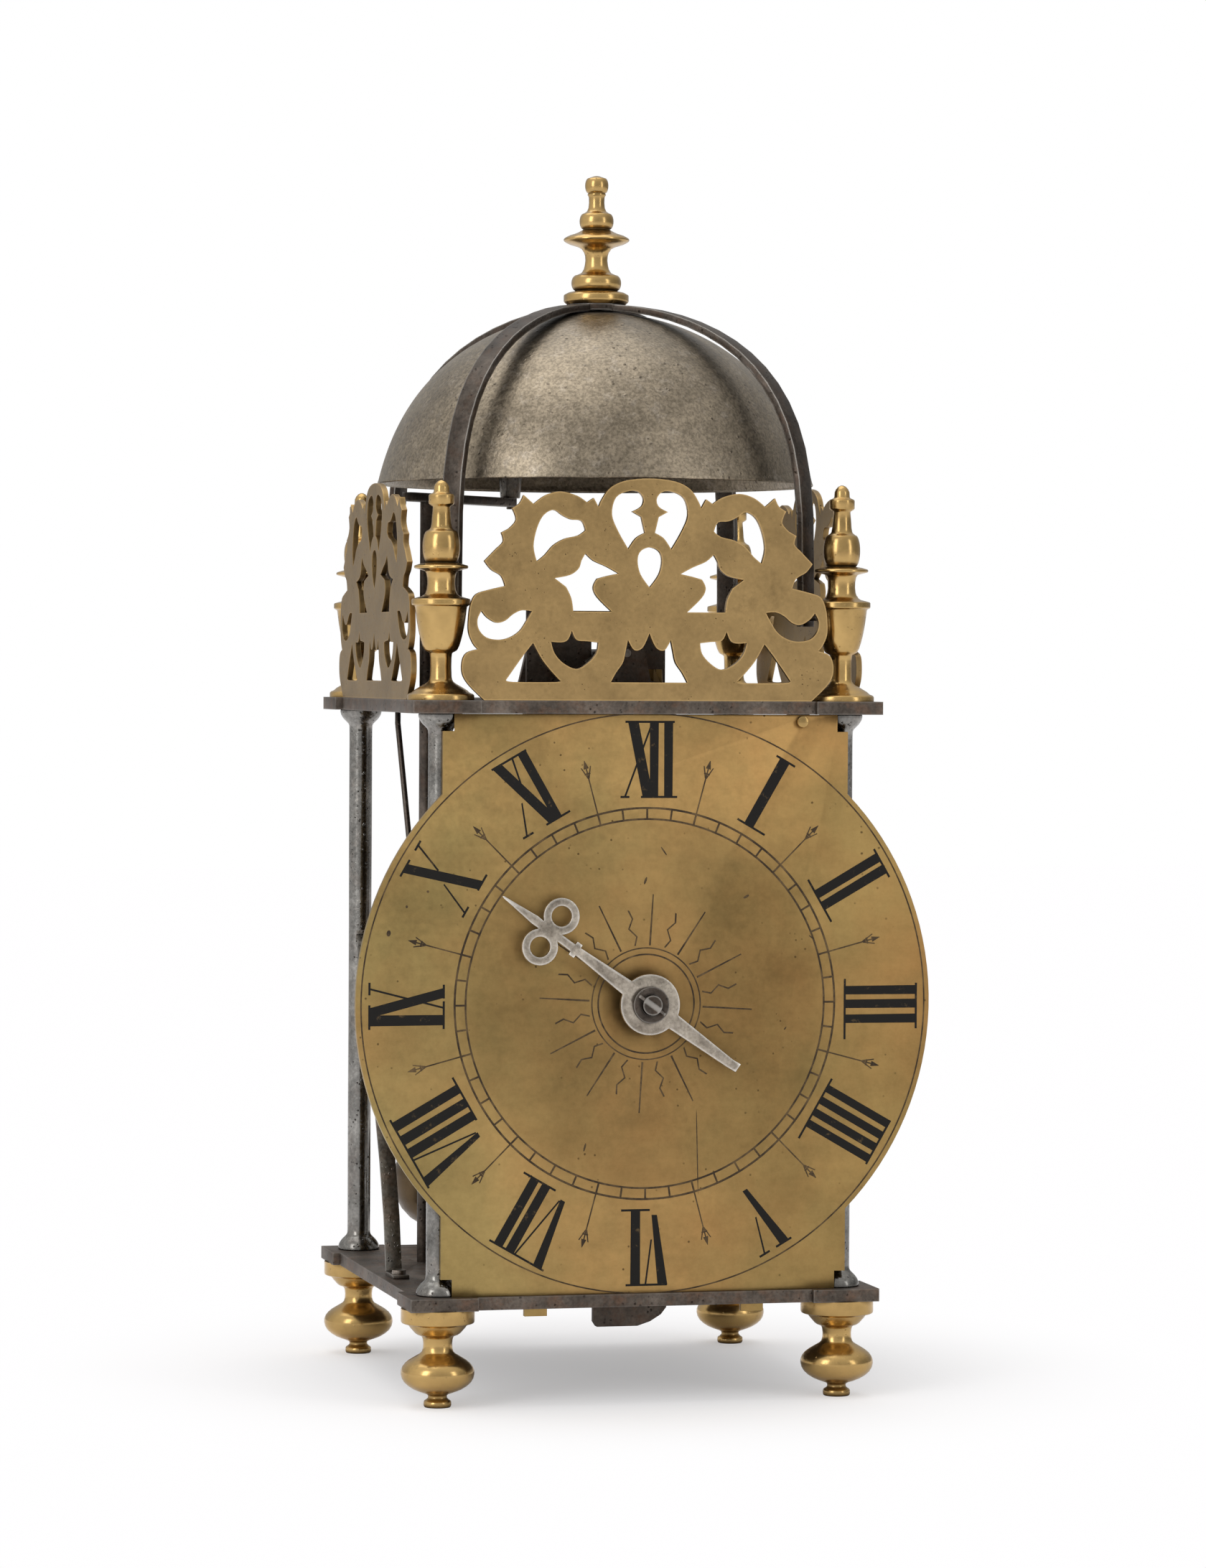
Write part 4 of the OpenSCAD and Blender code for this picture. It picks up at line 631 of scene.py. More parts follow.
def dial_finish():
    """Satin dial brass with stains, dents and pits, under painted shade: a little greener on the left, darker
    and browner on the right, and darker lower down.
    """
    colour = tuple(colours().dial_brass)
    f = Finish("dial_brass")
    broad = f.noise(26, 7, 0.62, shift=(0.9, 0.2, 0.3))
    fine = f.noise(520, 6, 0.65)
    tone = f.patchy(broad, colour, (0.28, 0.74), (0.5, 1.0), (0.72, 1.20))
    warmth = f.noise(17, 5, 0.6, shift=(0.5, 0.5, 0.9))
    tone = f.dimmed(tone, f.ramp(warmth, [(0.38, (0.97, 1.0, 0.95)), (0.66, (1.10, 0.97, 0.90))]))
    # Painted shade across the dial: a little greener on the left, darker and browner on the right
    across_for_shade = f.spread(f.along(0), -0.09, 0.09)
    tint = f.ramp(across_for_shade, [(0.0, (0.90, 0.95, 0.95)), (0.45, (1.0, 1.0, 1.0)), (1.0, (0.84, 0.79, 0.74))])
    tone = f.dimmed(tone, tint)
    # Painted shade: darker lower down on the dial
    height_for_shade = f.spread(f.along(2), DIAL_Z, CEIL_Z)
    tone = f.dimmed(tone, f.ramp(height_for_shade, [(0.1, 0.86), (0.9, 1.0)]))
    tone = f.dimmed(tone, f.ramp(fine, [(0.34, 0.55), (0.62, 1.0)]), 0.28)
    flat = f.add("VectorMath", {0: f.place, 1: (0, 0, -DIAL_Z)}, operation="ADD").outputs[0]
    flat = f.add("VectorMath", {0: flat, 1: (1, 0, 1)}, operation="MULTIPLY").outputs[0]
    reach = f.add("VectorMath", {0: flat}, operation="LENGTH").outputs["Value"]
    zones = f.ramp(f.spread(reach, 0.0, 0.1), [(0.0, 0.80), (0.54, 0.85), (0.60, 1.02), (0.90, 1.05)])
    tone = f.dimmed(tone, zones)
    stain = f.rises(f.noise(42, 8, 0.72, shift=(0.1, 0.6, 0.4)), 0.55, 0.70)
    tone = f.laid(tone, shade(colour, 0.45), stain, 0.30)
    streak = f.noise(130, 5, 0.7, stretch=(0.35, 1, 1.6), turn=(0, 0.5, 0))
    tone = f.dimmed(tone, f.ramp(streak, [(0.36, 0.66), (0.60, 1.0)]), 0.20)
    patches = f.noise(70, 4, shift=(0.2, 0.2, 0.8))
    spots = f.specks(f.cells(330, shift=(0.3, 0.9, 0.5)), (0.07, 0.15), patches, (0.55, 0.62))
    tone = f.laid(tone, DIAL_PITS, spots, 0.75)
    gloss = f.plus(f.times(fine, 0.22), 0.33)
    scored = f.noise(1700, 2, 0.5, stretch=(1, 1, 0.12), turn=(0, 0.35, 0))
    dented = f.relief(f.noise(48, 2, 0.4), 0.0006, 0.25)
    lined = f.relief(scored, 0.00002, 0.5, dented)
    return f.done(tone, gloss, f.relief(spots, 0.0001, 0.6, lined))


def bell_finish():
    """Cast bell metal with a brown and grey mottled skin, small pits, painted glints in its fine grain, and
    dirt and painted shade in its hollows.
    """
    colour = tuple(colours().bell_metal)
    f = Finish("bell_metal")
    fine = f.noise(420, 7, 0.7, shift=(0.6, 0.1, 0.2))
    tone = f.patchy(f.noise(34, 8, 0.68, 0.4), colour, (0.32, 0.76), (0.5, 1.0), (0.68, 1.36))
    tone = f.dimmed(tone, f.ramp(fine, [(0.36, 0.40), (0.62, 1.0)]), 0.5)
    pale = f.rises(f.noise(190, 7, 0.75, shift=(0.2, 0.8, 0.5)), 0.54, 0.66)
    tone = f.laid(tone, BELL_BLOOM, pale, 0.42)
    # Fine grain in the bell's skin, lightened into painted glints, and also a bump
    grain_and_glints = f.noise(1100, 3, 0.6, shift=(0.7, 0.3, 0.4))
    tone = f.dimmed(tone, f.ramp(grain_and_glints, [(0.40, 0.62), (0.58, 1.35)]), 0.55)
    spots = f.specks(f.cells(420, shift=(0.1, 0.5, 0.9)), (0.10, 0.24), f.noise(150, 4), (0.50, 0.58))
    tone = f.laid(tone, BELL_PITS, spots, 0.6)
    # Dirt and painted shade darken the hollows
    tone = f.laid(tone, BELL_GRIME_AND_SHADE, f.crevice_grime_and_shade(0.006, 0.20, 0.75), 0.7)
    gloss = f.plus(f.times(fine, 0.34), 0.19)
    skin = f.relief(f.noise(90, 2, 0.4, stretch=(0.02, 0.02, 12)), 0.0001, 0.35)
    skin = f.relief(f.noise(330, 6, 0.75), 0.00018, 0.6, skin)
    skin = f.relief(grain_and_glints, 0.0001, 0.55, skin)
    return f.done(tone, gloss, f.relief(spots, 0.0002, 0.6, skin))


def wax_finish():
    """Black wax, rubbed through to dull brass in places."""
    f = Finish("black_wax", metallic=0.0)
    worn = f.rises(f.noise(330, 6, 0.7, shift=(0.4, 0.2, 0.6)), 0.60, 0.72)
    tone = f.laid(tuple(colours().wax), BARE_UNDER_WAX, worn, 0.6)
    f.shader.inputs["Specular IOR Level"].default_value = 0.15
    return f.done(tone, 0.7, f.relief(f.noise(1200, 3), 0.00004, 0.6))


def engraved_finish():
    """Thin engraved lines, brown where the wax has gone."""
    f = Finish("engraved_lines", metallic=0.0)
    worn = f.rises(f.noise(150, 6, 0.7, shift=(0.7, 0.5, 0.1)), 0.42, 0.66)
    tone = f.laid(LINE_BROWN, LINE_BRASS, worn, 0.75)
    f.shader.inputs["Specular IOR Level"].default_value = 0.2
    return f.done(tone, 0.7)


def steel_finish(name, colour, polish):
    """Old steel with brown stains and small scratches."""
    return old_iron(name, colour, polish, rust=0.45, pit_scale=800, grime_and_shade_reach=0.002, bright=1.5)


def hand_finish():
    """Filed steel, grey-brown on the flats, with dirt and painted shade in the corners and bright rubbed
    edges that are partly a painted highlight.
    """
    f = Finish("hand_steel")
    broad = f.noise(160, 6, 0.65, shift=(0.3, 0.6, 0.1))
    fine = f.noise(1100, 5, 0.65, shift=(0.5, 0.2, 0.9))
    tone = f.ramp(broad, [(0.32, HAND_DARK), (0.66, HAND_PALE)])
    tone = f.dimmed(tone, f.ramp(fine, [(0.38, 0.45), (0.62, 1.0)]), 0.5)
    # Dirt and painted shade darken the corners
    tone = f.laid(tone, HAND_GRIME_AND_SHADE, f.crevice_grime_and_shade(0.002, 0.25, 0.80), 0.7)
    # Edges lit up as filed steel, partly a painted highlight
    tone = f.laid(tone, FILED_EDGE_AND_HIGHLIGHT, f.edges(0.0012), 0.85)
    gloss = f.plus(f.times(fine, 0.30), 0.16)
    return f.done(tone, gloss, f.relief(f.noise(420, 6, 0.7), 0.00012, 0.4))


FINISHES = {}


def finish_for(slot):
    """The finish of one of the record's slots or of the dial's marks, made when it is first asked for."""
    if slot in FINISHES:
        return FINISHES[slot]
    iron = tuple(colours().iron)
    brass = tuple(colours().turned_brass)
    fret = tuple(colours().fret_brass)
    makers = {
        "iron_plate": lambda: old_iron(slot, iron, 0.5, 0.6, rubbed_edge_and_highlight=0.3),
        "iron_pillar": lambda: old_iron(slot, PILLAR_IRON, 0.20, 0.12, pit_scale=700, rough=0.18),
        "iron_strap": lambda: old_iron(slot, shade(iron, 0.62), 0.42, 0.4, rubbed_edge_and_highlight=0.75),
        "movement_iron": lambda: old_iron(slot, shade(iron, 0.75), 0.55, 0.6),
        "turned_brass": lambda: aged_brass(slot, brass, 0.20, pits=0.25, grain=0.4),
        "fret_brass": lambda: aged_brass(slot, fret, 0.34, 0.0022, pits=0.7, rubbed_edge_and_highlight=0.7),
        # A darker copy of the fret brass: painted shade on the side frets
        "side_fret_brass": lambda: aged_brass(slot, shade(fret, 0.7), 0.38, 0.0025, pits=0.9, rubbed_edge_and_highlight=0.6),
        "dial_brass": dial_finish,
        "wheel_brass": lambda: aged_brass(slot, shade(brass, 0.62), 0.4),
        # The bob's brass is darkened as painted shade
        "pulley_brass": lambda: aged_brass(slot, PULLEY_BRASS_IN_PAINTED_SHADE, 0.32),
        "bell_metal": bell_finish,
        "hand_steel": hand_finish,
        "arbor_steel": lambda: steel_finish(slot, ARBOR_STEEL, 0.38),
        "screw_steel": lambda: steel_finish(slot, SCREW_STEEL, 0.36),
        "wax": wax_finish,
        "engraved": engraved_finish,
    }
    FINISHES[slot] = makers[slot]()
    return FINISHES[slot]


# Pieces of the frame

# Widths of the edges that are softened but are no setting
WORN_EDGE = 0.35 * MM
SMALL_EDGE = 0.3 * MM
COLLET_EDGE = 0.25 * MM
FINE_EDGE = 0.2 * MM


class CLOCK_OT_iron_plates(bpy.types.Operator):
    """Make the top and bottom plates with their worn edges"""

    bl_idname = "clock.iron_plates"
    bl_label = "Iron Plates"

    def execute(self, context):
        for node in ("bottom_plate", "top_plate"):
            soften(node, "iron_" + node, "iron_plate", sizes().edge_wear)
        return {"FINISHED"}


# Profiles are rings as (radius, height), in millimetres
PILLAR_COLLAR = [(6.5, 0.0), (6.7, 0.3), (6.68, 0.9), (6.5, 1.6), (6.1, 2.4), (5.5, 3.2), (4.7, 4.0)]
PILLAR_NECK = [(4.1, 4.6), (3.8, 5.2), (3.72, 6.4), (3.7, 9.5)]
PILLAR_WAVE = 0.04


class CLOCK_OT_pillars(bpy.types.Operator):
    """Turn one pillar with its rounded collars and copy it to the four corners"""

    bl_idname = "clock.pillars"
    bl_label = "Pillars"

    def execute(self, context):
        length = (CEIL_Z - FLOOR_Z) / MM
        foot = PILLAR_COLLAR + PILLAR_NECK
        radius, start = foot[-1]
        shaft = []
        for share in (0.2, 0.4, 0.6, 0.8):
            swell = PILLAR_WAVE * math.sin(9 * share)
            shaft.append((radius + swell, start + share * (length - 2 * start)))
        head = [(radius, length - height) for radius, height in reversed(foot)]
        profile = foot + shaft + head
        turn_four(profile, FLOOR_Z, "round_pillar_", "iron_pillar", "pillar_", sides=56, degrees=30)
        return {"FINISHED"}


FOOT_PROFILE = eased(
    [(3.9, 0), (4.2, 0.4), (4.2, 1.8), (3.1, 2.5), (2.8, 3.1), (3.0, 3.8), (4.3, 4.3), (5.6, 4.75)]
    + [(7.4, 5.5), (9.0, 6.5), (10.2, 7.6), (10.9, 8.8), (11.2, 10.1), (11.15, 11.2), (10.7, 12.3)]
    + [(9.9, 13.3), (8.8, 14.2), (7.5, 15.0), (6.3, 15.7), (5.3, 16.3), (4.8, 16.9), (4.45, 18.1)]
    + [(4.4, 19.4), (4.55, 20.7), (4.9, 21.6), (6.3, 22.1), (7.0, 22.6), (7.6, 23.3), (8.4, 24.2)]
    + [(8.9, 24.9), (9.2, 25.3), (10.9, 25.6), (11.2, 26.0), (11.2, 30)]
)


class CLOCK_OT_feet(bpy.types.Operator):
    """Turn one foot and copy it under the four corners"""

    bl_idname = "clock.feet"
    bl_label = "Feet"

    def execute(self, context):
        turn_four(FOOT_PROFILE, 0, "turned_foot_", "turned_brass", "foot_")
        return {"FINISHED"}


FINIAL_PROFILE = eased(
    [(10.2, 0), (10.2, 1.5), (9.7, 1.9), (8.9, 2.2), (8.0, 3.0), (7.0, 3.6), (6.0, 4.2), (4.9, 4.8)]
    + [(4.0, 5.4), (3.5, 6.1), (3.3, 7.0), (3.2, 10), (3.25, 12.6), (3.4, 14.2), (4.9, 15), (5.6, 16.4)]
    + [(6.1, 18), (6.6, 20), (7.0, 22), (7.35, 24), (7.6, 26), (7.9, 28.3), (8.95, 28.8), (8.95, 30.5)]
    + [(7.6, 30.9), (6, 31.3), (4.9, 32), (4.4, 33.4), (4.2, 35), (4.25, 36.8), (4.5, 38.2), (5, 39)]
    + [(8.2, 39.8), (8.2, 40.6), (6.2, 41.2)]
    + bead(4.2, 5.7, 41.5, 51.2, 14)
    + [(3.3, 51.9), (3.0, 53.4), (2.9, 55), (2.6, 58.4), (3.9, 59.2), (3.9, 62.0), (2.4, 62.7), (2.3, 64.4)]
    + [(1.9, 65.3), (1.2, 66.1), (0.4, 66.5)],
    0.22,
)


class CLOCK_OT_corner_finials(bpy.types.Operator):
    """Turn one corner finial and copy it over the four pillars"""

    bl_idname = "clock.corner_finials"
    bl_label = "Corner Finials"

    def execute(self, context):
        turn_four(FINIAL_PROFILE, TOP_Z, "urn_finial_", "turned_brass", "corner_finial_")
        return {"FINISHED"}


TOP_PROFILE = eased(
    [(9.3, 0), (10.3, 0.9), (10.3, 3.0), (8.8, 3.8)]
    + bead(6.3, 7.9, 4.3, 9.3, 12)
    + [(4.7, 10), (4.0, 11.2), (3.7, 12.4), (3.5, 14), (3.6, 15.4), (3.9, 16.4), (4.7, 17.6), (5.8, 18.2)]
    + [(7, 18.6), (8.6, 19.1), (9.6, 19.6), (10.2, 20.0), (10.5, 20.45), (10.2, 20.9), (9.6, 21.3)]
    + [(8.6, 21.8), (7, 22.3), (5.8, 22.8), (4.7, 23.4)]
    + bead(4.1, 5.4, 23.8, 28.8, 12)
    + [(3.1, 29.4), (2.6, 30.6), (2.45, 32.2), (2.5, 34), (3, 34.8)]
    + bead(2.6, 3.7, 35.2, 40, 12)
    + [(0.9, 40.6), (0.3, 40.7)],
    0.2,
)
STUD_PROFILE = [(2.3, 0), (2.5, 0.2), (2.5, 12.9)]
STUD_DEPTH = 12.7


class CLOCK_OT_top_finial(bpy.types.Operator):
    """Turn the finial that stands over the bell, and the stud under it"""

    bl_idname = "clock.top_finial"
    bl_label = "Top Finial"

    def execute(self, context):
        x, y = middle_of("top_finial")
        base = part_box("top_finial")[1].z - TOP_PROFILE[-1][1] * MM
        finial = turned(TOP_PROFILE, x, y, base)
        stud = turned(STUD_PROFILE, x, y, base - STUD_DEPTH * MM, sides=32)
        choose(finial)
        stud.select_set(True)
        bpy.ops.object.join()
        place_piece(finial, "turned_top_finial", "turned_brass", ["top_finial"])
        return {"FINISHED"}


# The bell's wall, the flare and the corner of its lip, the hole round its bolt, and how many rings it has
BELL_WALL = 2.5
BELL_FLARE = 3.2
BELL_LIP = [(-0.35, 0.0), (-0.08, 0.12), (0, 0.4)]
BELL_LIP_TOP = 1.4
BELL_HOLE = 3.0
BELL_RINGS = 46


def bell_radius(height, rim, top):
    """The bell's radius at a height over its rim: a dome that flares at the lip."""
    share = min(1.0, height / top)
    dome = (rim - BELL_FLARE) * math.sqrt(max(0.0, 1 - share * share))
    return dome + BELL_FLARE * (1 - share) ** 4


class CLOCK_OT_bell(bpy.types.Operator):
    """Turn the bell, give its shell a wall and close its lip"""

    bl_idname = "clock.bell"
    bl_label = "Bell"

    def execute(self, context):
        low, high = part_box("bell")
        x, y = middle_of("bell")
        rim = (high.x - low.x) / 2 / MM
        top = (high.z - low.z) / MM
        rings = [(rim + step, height) for step, height in BELL_LIP]
        rings.append((bell_radius(BELL_LIP_TOP, rim, top), BELL_LIP_TOP))
        for i in range(2, BELL_RINGS):
            height = top * math.sin(math.radians(90 * i / BELL_RINGS))
            rings.append((max(BELL_HOLE, bell_radius(height, rim, top)), height))
        bell = turned(rings, x, y, low.z, sides=144, shell=True)
        modify(bell, "SOLIDIFY", thickness=BELL_WALL * MM, offset=-1)
        sharp = math.radians(50)
        modify(bell, "BEVEL", width=SMALL_EDGE, segments=2, limit_method="ANGLE", angle_limit=sharp)
        smooth(bell, 40)
        place_piece(bell, "cast_bell", "bell_metal", ["bell"])
        return {"FINISHED"}


class CLOCK_OT_bell_strap(bpy.types.Operator):
    """Make the four-legged strap over the bell and the nut inside it"""

    bl_idname = "clock.bell_strap"
    bl_label = "Bell Strap"

    def execute(self, context):
        soften("bell_strap", "forged_strap", "iron_strap", WORN_EDGE, bevel_angle=45)
        soften("bell_nut", "hexagon_bell_nut", "iron_strap", SMALL_EDGE)
        return {"FINISHED"}


class CLOCK_OT_frets(bpy.types.Operator):
    """Round the leaves of the three pierced frets and finish their screws"""

    bl_idname = "clock.frets"
    bl_label = "Frets"

    def execute(self, context):
        for node in ("front_fret", "left_fret", "right_fret"):
            # The side frets take the darker copy of the brass, painted shade
            look = "fret_brass" if node == "front_fret" else "side_fret_brass"
            corners = {"miter_outer": "MITER_ARC", "loop_slide": False}
            fret = softened(node, sizes().fret_edge, segments=3, bevel_angle=50, **corners)
            modify(fret, "WEIGHTED_NORMAL", keep_sharp=True)
            place_piece(fret, "pierced_" + node, "fret_brass", [node], look=look)
        soften("fret_screws", "slotted_fret_screws", "screw_steel", FINE_EDGE)
        return {"FINISHED"}


# The dial


class CLOCK_OT_dial(bpy.types.Operator):
    """Make the brass dial with its worn edge, and the stud near its top"""

    bl_idname = "clock.dial"
    bl_label = "Dial"

    def execute(self, context):
        soften("dial_plate", "brass_dial", "dial_brass", WORN_EDGE, bevel_angle=45)
        soften("dial_stud", "round_dial_stud", "turned_brass", WORN_EDGE)
        return {"FINISHED"}


# Marks start a little inside the face, and each stroke of a mark lies a layer over the one before
SINK = 0.02 * MM
LAYER = 0.002 * MM


def start_marks():
    """An empty mesh in edit mode for marks on the dial's face."""
    deselect()
    bpy.ops.mesh.primitive_plane_add(size=0.001, location=(0, DIAL_FACE_Y, DIAL_Z))
    marks = bpy.context.object
    bpy.ops.object.transform_apply(location=True, rotation=True, scale=True)
    edit(marks)
    bpy.ops.mesh.select_all(action="SELECT")
    bpy.ops.mesh.delete(type="VERT")
    return marks


def stroke(marks, outer, inner, lift):
    """Adds a straight flat stroke between two ends, each given as (across, out, width) at twelve o'clock."""
    (x_out, r_out, w_out), (x_in, r_in, w_in) = outer, inner
    middle = DIAL_Z + (r_out + r_in) / 2 * MM
    foot = (x_in * MM, DIAL_FACE_Y + SINK - lift, middle)
    bpy.ops.mesh.primitive_plane_add(size=1, location=foot, rotation=(math.pi / 2, 0, 0))
    bpy.ops.transform.resize(value=(w_in * MM, 1, (r_out - r_in) * MM), center_override=foot)
    mesh = bmesh.from_edit_mesh(marks.data)
    for vertex in mesh.verts:
        if vertex.select and vertex.co.z < middle:
            vertex.select_set(False)
    mesh.select_flush_mode()
    bmesh.update_edit_mesh(marks.data)
    bpy.ops.transform.resize(value=(w_out / w_in, 1, 1), center_override=foot)
    if x_out != x_in:
        bpy.ops.transform.translate(value=((x_out - x_in) * MM, 0, 0))


def repeat_round(count):
    """Copies all the marks in edit mode evenly round the dial."""
    bpy.ops.mesh.select_all(action="SELECT")
    bpy.ops.mesh.spin(
        steps=count - 1,
        dupli=True,
        angle=2 * math.pi * (count - 1) / count,
        center=(0, DIAL_FACE_Y, DIAL_Z),
        axis=(0, 1, 0),
    )


def turn_round_dial(obj, degrees):
    """Turns an object clockwise round the dial's centre."""
    centre = Vector((0, DIAL_FACE_Y, DIAL_Z))
    turn = Matrix.Rotation(math.radians(degrees), 4, "Y")
    choose(obj)
    obj.matrix_world = Matrix.Translation(centre) @ turn @ Matrix.Translation(-centre)
    bpy.ops.object.transform_apply(location=True, rotation=True, scale=True)


def raise_marks(marks, height):
    """Gives flat marks their thickness."""
    edit(marks, "FACE")
    pick(marks, lambda face: face.normal.y > 0, "FACE")
    bpy.ops.mesh.flip_normals()
    deselect()
    modify(marks, "SOLIDIFY", thickness=height + SINK, offset=1)


def ring(radius, width):
    """Adds a flat ring round the dial's centre, its outer edge at the radius."""
    centre = (0, DIAL_FACE_Y + SINK, DIAL_Z)
    inside = radius - width
    bpy.ops.mesh.primitive_circle_add(
        vertices=256, radius=inside * MM, fill_type="NOTHING", location=centre, rotation=(math.pi / 2, 0, 0)
    )
    scale = radius / inside
    bpy.ops.mesh.extrude_edges_move(TRANSFORM_OT_translate={"value": (0, 0, 0)})
    bpy.ops.transform.resize(value=(scale, 1, scale), center_override=centre)


def lay_marks(name, look, strokes, height, count=1, turn=0, layer=LAYER):
    """Lays strokes on the dial, repeats them round it, raises them and turns them into place."""
    marks = start_marks()
    for i, (outer, inner) in enumerate(strokes):
        stroke(marks, outer, inner, i * layer)
    if count > 1:
        repeat_round(count)
    raise_marks(marks, height)
    if turn:
        turn_round_dial(marks, turn)
    place_piece(marks, name, None, look=look)


# Each numeral at twelve o'clock: strokes as (across outer, across inner, width outer, width inner,
# from, to) and serifs as (left, right, at the outer end), in millimetres from the dial's centre
OUTER = 85.9
INNER = 63.0
OUTER_SERIF = (85.5, 86.15)
INNER_SERIF = (62.65, 63.3)


def upright(*places, width=2.9):
    """Strokes that run straight out, a little wider at the rim."""
    return [(at, at, width * 1.03, width * 0.97, OUTER, INNER) for at in places]


NUMERALS = {
    1: (upright(0.6, width=3.3), [(-2.5, 4.3, True), (-3.5, 6.5, False)]),
    2: (upright(-1.7, 2.4), [(-4.6, 5.4, True), (-7, 8, False)]),
    3: (upright(-3.5, 0.7, 5.3, width=2.7), [(-5.6, 8.5, True), (-7, 11.6, False)]),
    4: (upright(-5.7, -1.6, 2.5, 6.5, width=2.5), [(-7, 8.4, True), (-9, 12, False)]),
    5: (
        [(-1.5, 1.5, 3.1, 1.6, OUTER, 65.5), (5.8, 2.6, 0.55, 0.5, 86.0, 74.5)],
        [(-4, 1.6, True), (3.9, 7.6, True)],
    ),
    6: (
        [(-5.6, -2.9, 3.1, 1.7, OUTER, 64.5), (-0.2, -2.0, 0.55, 0.5, 86.0, 72.0)] + upright(3.0, width=3.0),
        [(-7, 6, True), (-1.5, 7.5, False)],
    ),
    7: (
        [(-10.7, -7.5, 3.0, 1.6, OUTER, 64.5), (-2.5, -6.6, 0.55, 0.5, 86.0, 65.0)] + upright(-0.7, 3.4),
        [(-13, 6.5, True), (-4, 7.5, False)],
    ),
    8: (
        [(-11.9, -7.8, 3.1, 1.6, OUTER, 64.5), (-4.2, -6.9, 0.55, 0.5, 86.0, 65.0)]
        + upright(-1.9, 2.6, 7.4, width=3.0),
        [(-14, 10, True), (-3.7, 11.3, False)],
    ),
    9: (
        upright(-4.3, width=3.2) + [(-2, 3.9, 3.0, 3.0, OUTER, INNER), (5.3, -0.6, 0.6, 0.6, OUTER, INNER)],
        [(-7, 0.4, True), (3.4, 7.2, True), (-7, 1.4, False), (2.2, 6.4, False)],
    ),
    10: (
        [(-1.6, 5.6, 3.0, 3.0, OUTER, INNER), (6.5, 2.9, 0.6, 0.6, OUTER, 76.5)]
        + [(0.2, -4.1, 0.5, 0.6, 73.0, INNER)],
        [(-4.4, 1.4, True), (4.6, 8.0, True), (3.8, 9.3, False), (-5.6, -1.9, False)],
    ),
    11: (
        [(-4.6, 2.6, 3.2, 3.2, OUTER, INNER), (0.8, -1.0, 0.6, 0.5, OUTER, 76.0)]
        + [(-3.3, -6.9, 0.5, 0.6, 72.5, INNER)]
        + upright(4.2, width=2.8),
        [(-6.5, 5.8, True), (0, 8.5, False), (-8.3, -4.6, False)],
    ),
    12: (
        [(-4.5, 0.2, 3.3, 3.3, OUTER, INNER), (1.6, -7.0, 0.6, 0.6, OUTER, INNER)]
        + upright(2.1, 6.6, width=2.7),
        [(-7, 8.5, True), (-2, 9.4, False), (-8.4, -5.6, False)],
    ),
}


class CLOCK_OT_numerals(bpy.types.Operator):
    """Lay the twelve black hour numerals on the dial, stroke by stroke"""

    bl_idname = "clock.numerals"
    bl_label = "Hour Numerals"

    def execute(self, context):
        for hour, (strokes, serifs) in NUMERALS.items():
            flat = []
            for x_out, x_in, w_out, w_in, r_out, r_in in strokes:
                flat.append(((x_out, r_out, w_out), (x_in, r_in, w_in)))
            for left, right, outside in serifs:
                low, high = OUTER_SERIF if outside else INNER_SERIF
                middle, width = (left + right) / 2, right - left
                flat.append(((middle, high, width), (middle, low, width)))
            lay_marks("numeral_%02d" % hour, "wax", flat, sizes().mark_height, turn=30 * hour)
        return {"FINISHED"}


# Engraved circles as (outer radius, share of the line's width), the bends of a waved ray as (across,
# out), and the heights of the engraved marks, all in millimetres
CIRCLES = [(88.6, 0.9), (59.95, 1.3), (56.55, 1.2), (17.2, 0.8), (15.3, 1.0)]
RAY_BENDS = [(0.0, 18.0), (1.1, 20.6), (-0.9, 23.4), (0.8, 26.2), (0.0, 29.0)]
RAY_WIDTH = 0.52
LINE_HEIGHT = 0.03
QUARTER_HEIGHT = 0.034
HALF_HEIGHT = 0.04


class CLOCK_OT_dial_lines(bpy.types.Operator):
    """Engrave the dial's circles, quarter-hour ring, half-hour marks and centre rays"""

    bl_idname = "clock.dial_lines"
    bl_label = "Dial Lines"

    def execute(self, context):
        width = sizes().line_width / MM
        marks = start_marks()
        for radius, share in CIRCLES:
            ring(radius, width * share)
        raise_marks(marks, LINE_HEIGHT * MM)
        place_piece(marks, "dial_circles", None, look="engraved")

        quarter = [((0, 59.8, width * 1.2), (0, 56.2, width * 1.2))]
        lay_marks("quarter_hour_lines", "engraved", quarter, QUARTER_HEIGHT * MM, 48)
        half = [
            ((0, 74.0, width * 0.8), (0, 56.4, width * 0.9)),
            ((0, 76.6, 0.15), (0, 74.0, 1.7)),
            ((0, 72.7, 1.9), (0, 72.2, 1.9)),
            ((1.5, 74.6, 0.35), (0.1, 71.0, 0.45)),
            ((-1.5, 74.6, 0.35), (-0.1, 71.0, 0.45)),
        ]
        lay_marks("half_hour_marks", "engraved", half, HALF_HEIGHT * MM, 12, 15)
        straight = [((0, 33.4, 0.4), (0, 17.8, 0.6))]
        lay_marks("straight_centre_rays", "engraved", straight, LINE_HEIGHT * MM, 12, 3.5)
        waved = [((*far, RAY_WIDTH), (*near, RAY_WIDTH)) for near, far in zip(RAY_BENDS, RAY_BENDS[1:])]
        lay_marks("waved_centre_rays", "engraved", waved, LINE_HEIGHT * MM, 12, 18.5, layer=0)
        return {"FINISHED"}


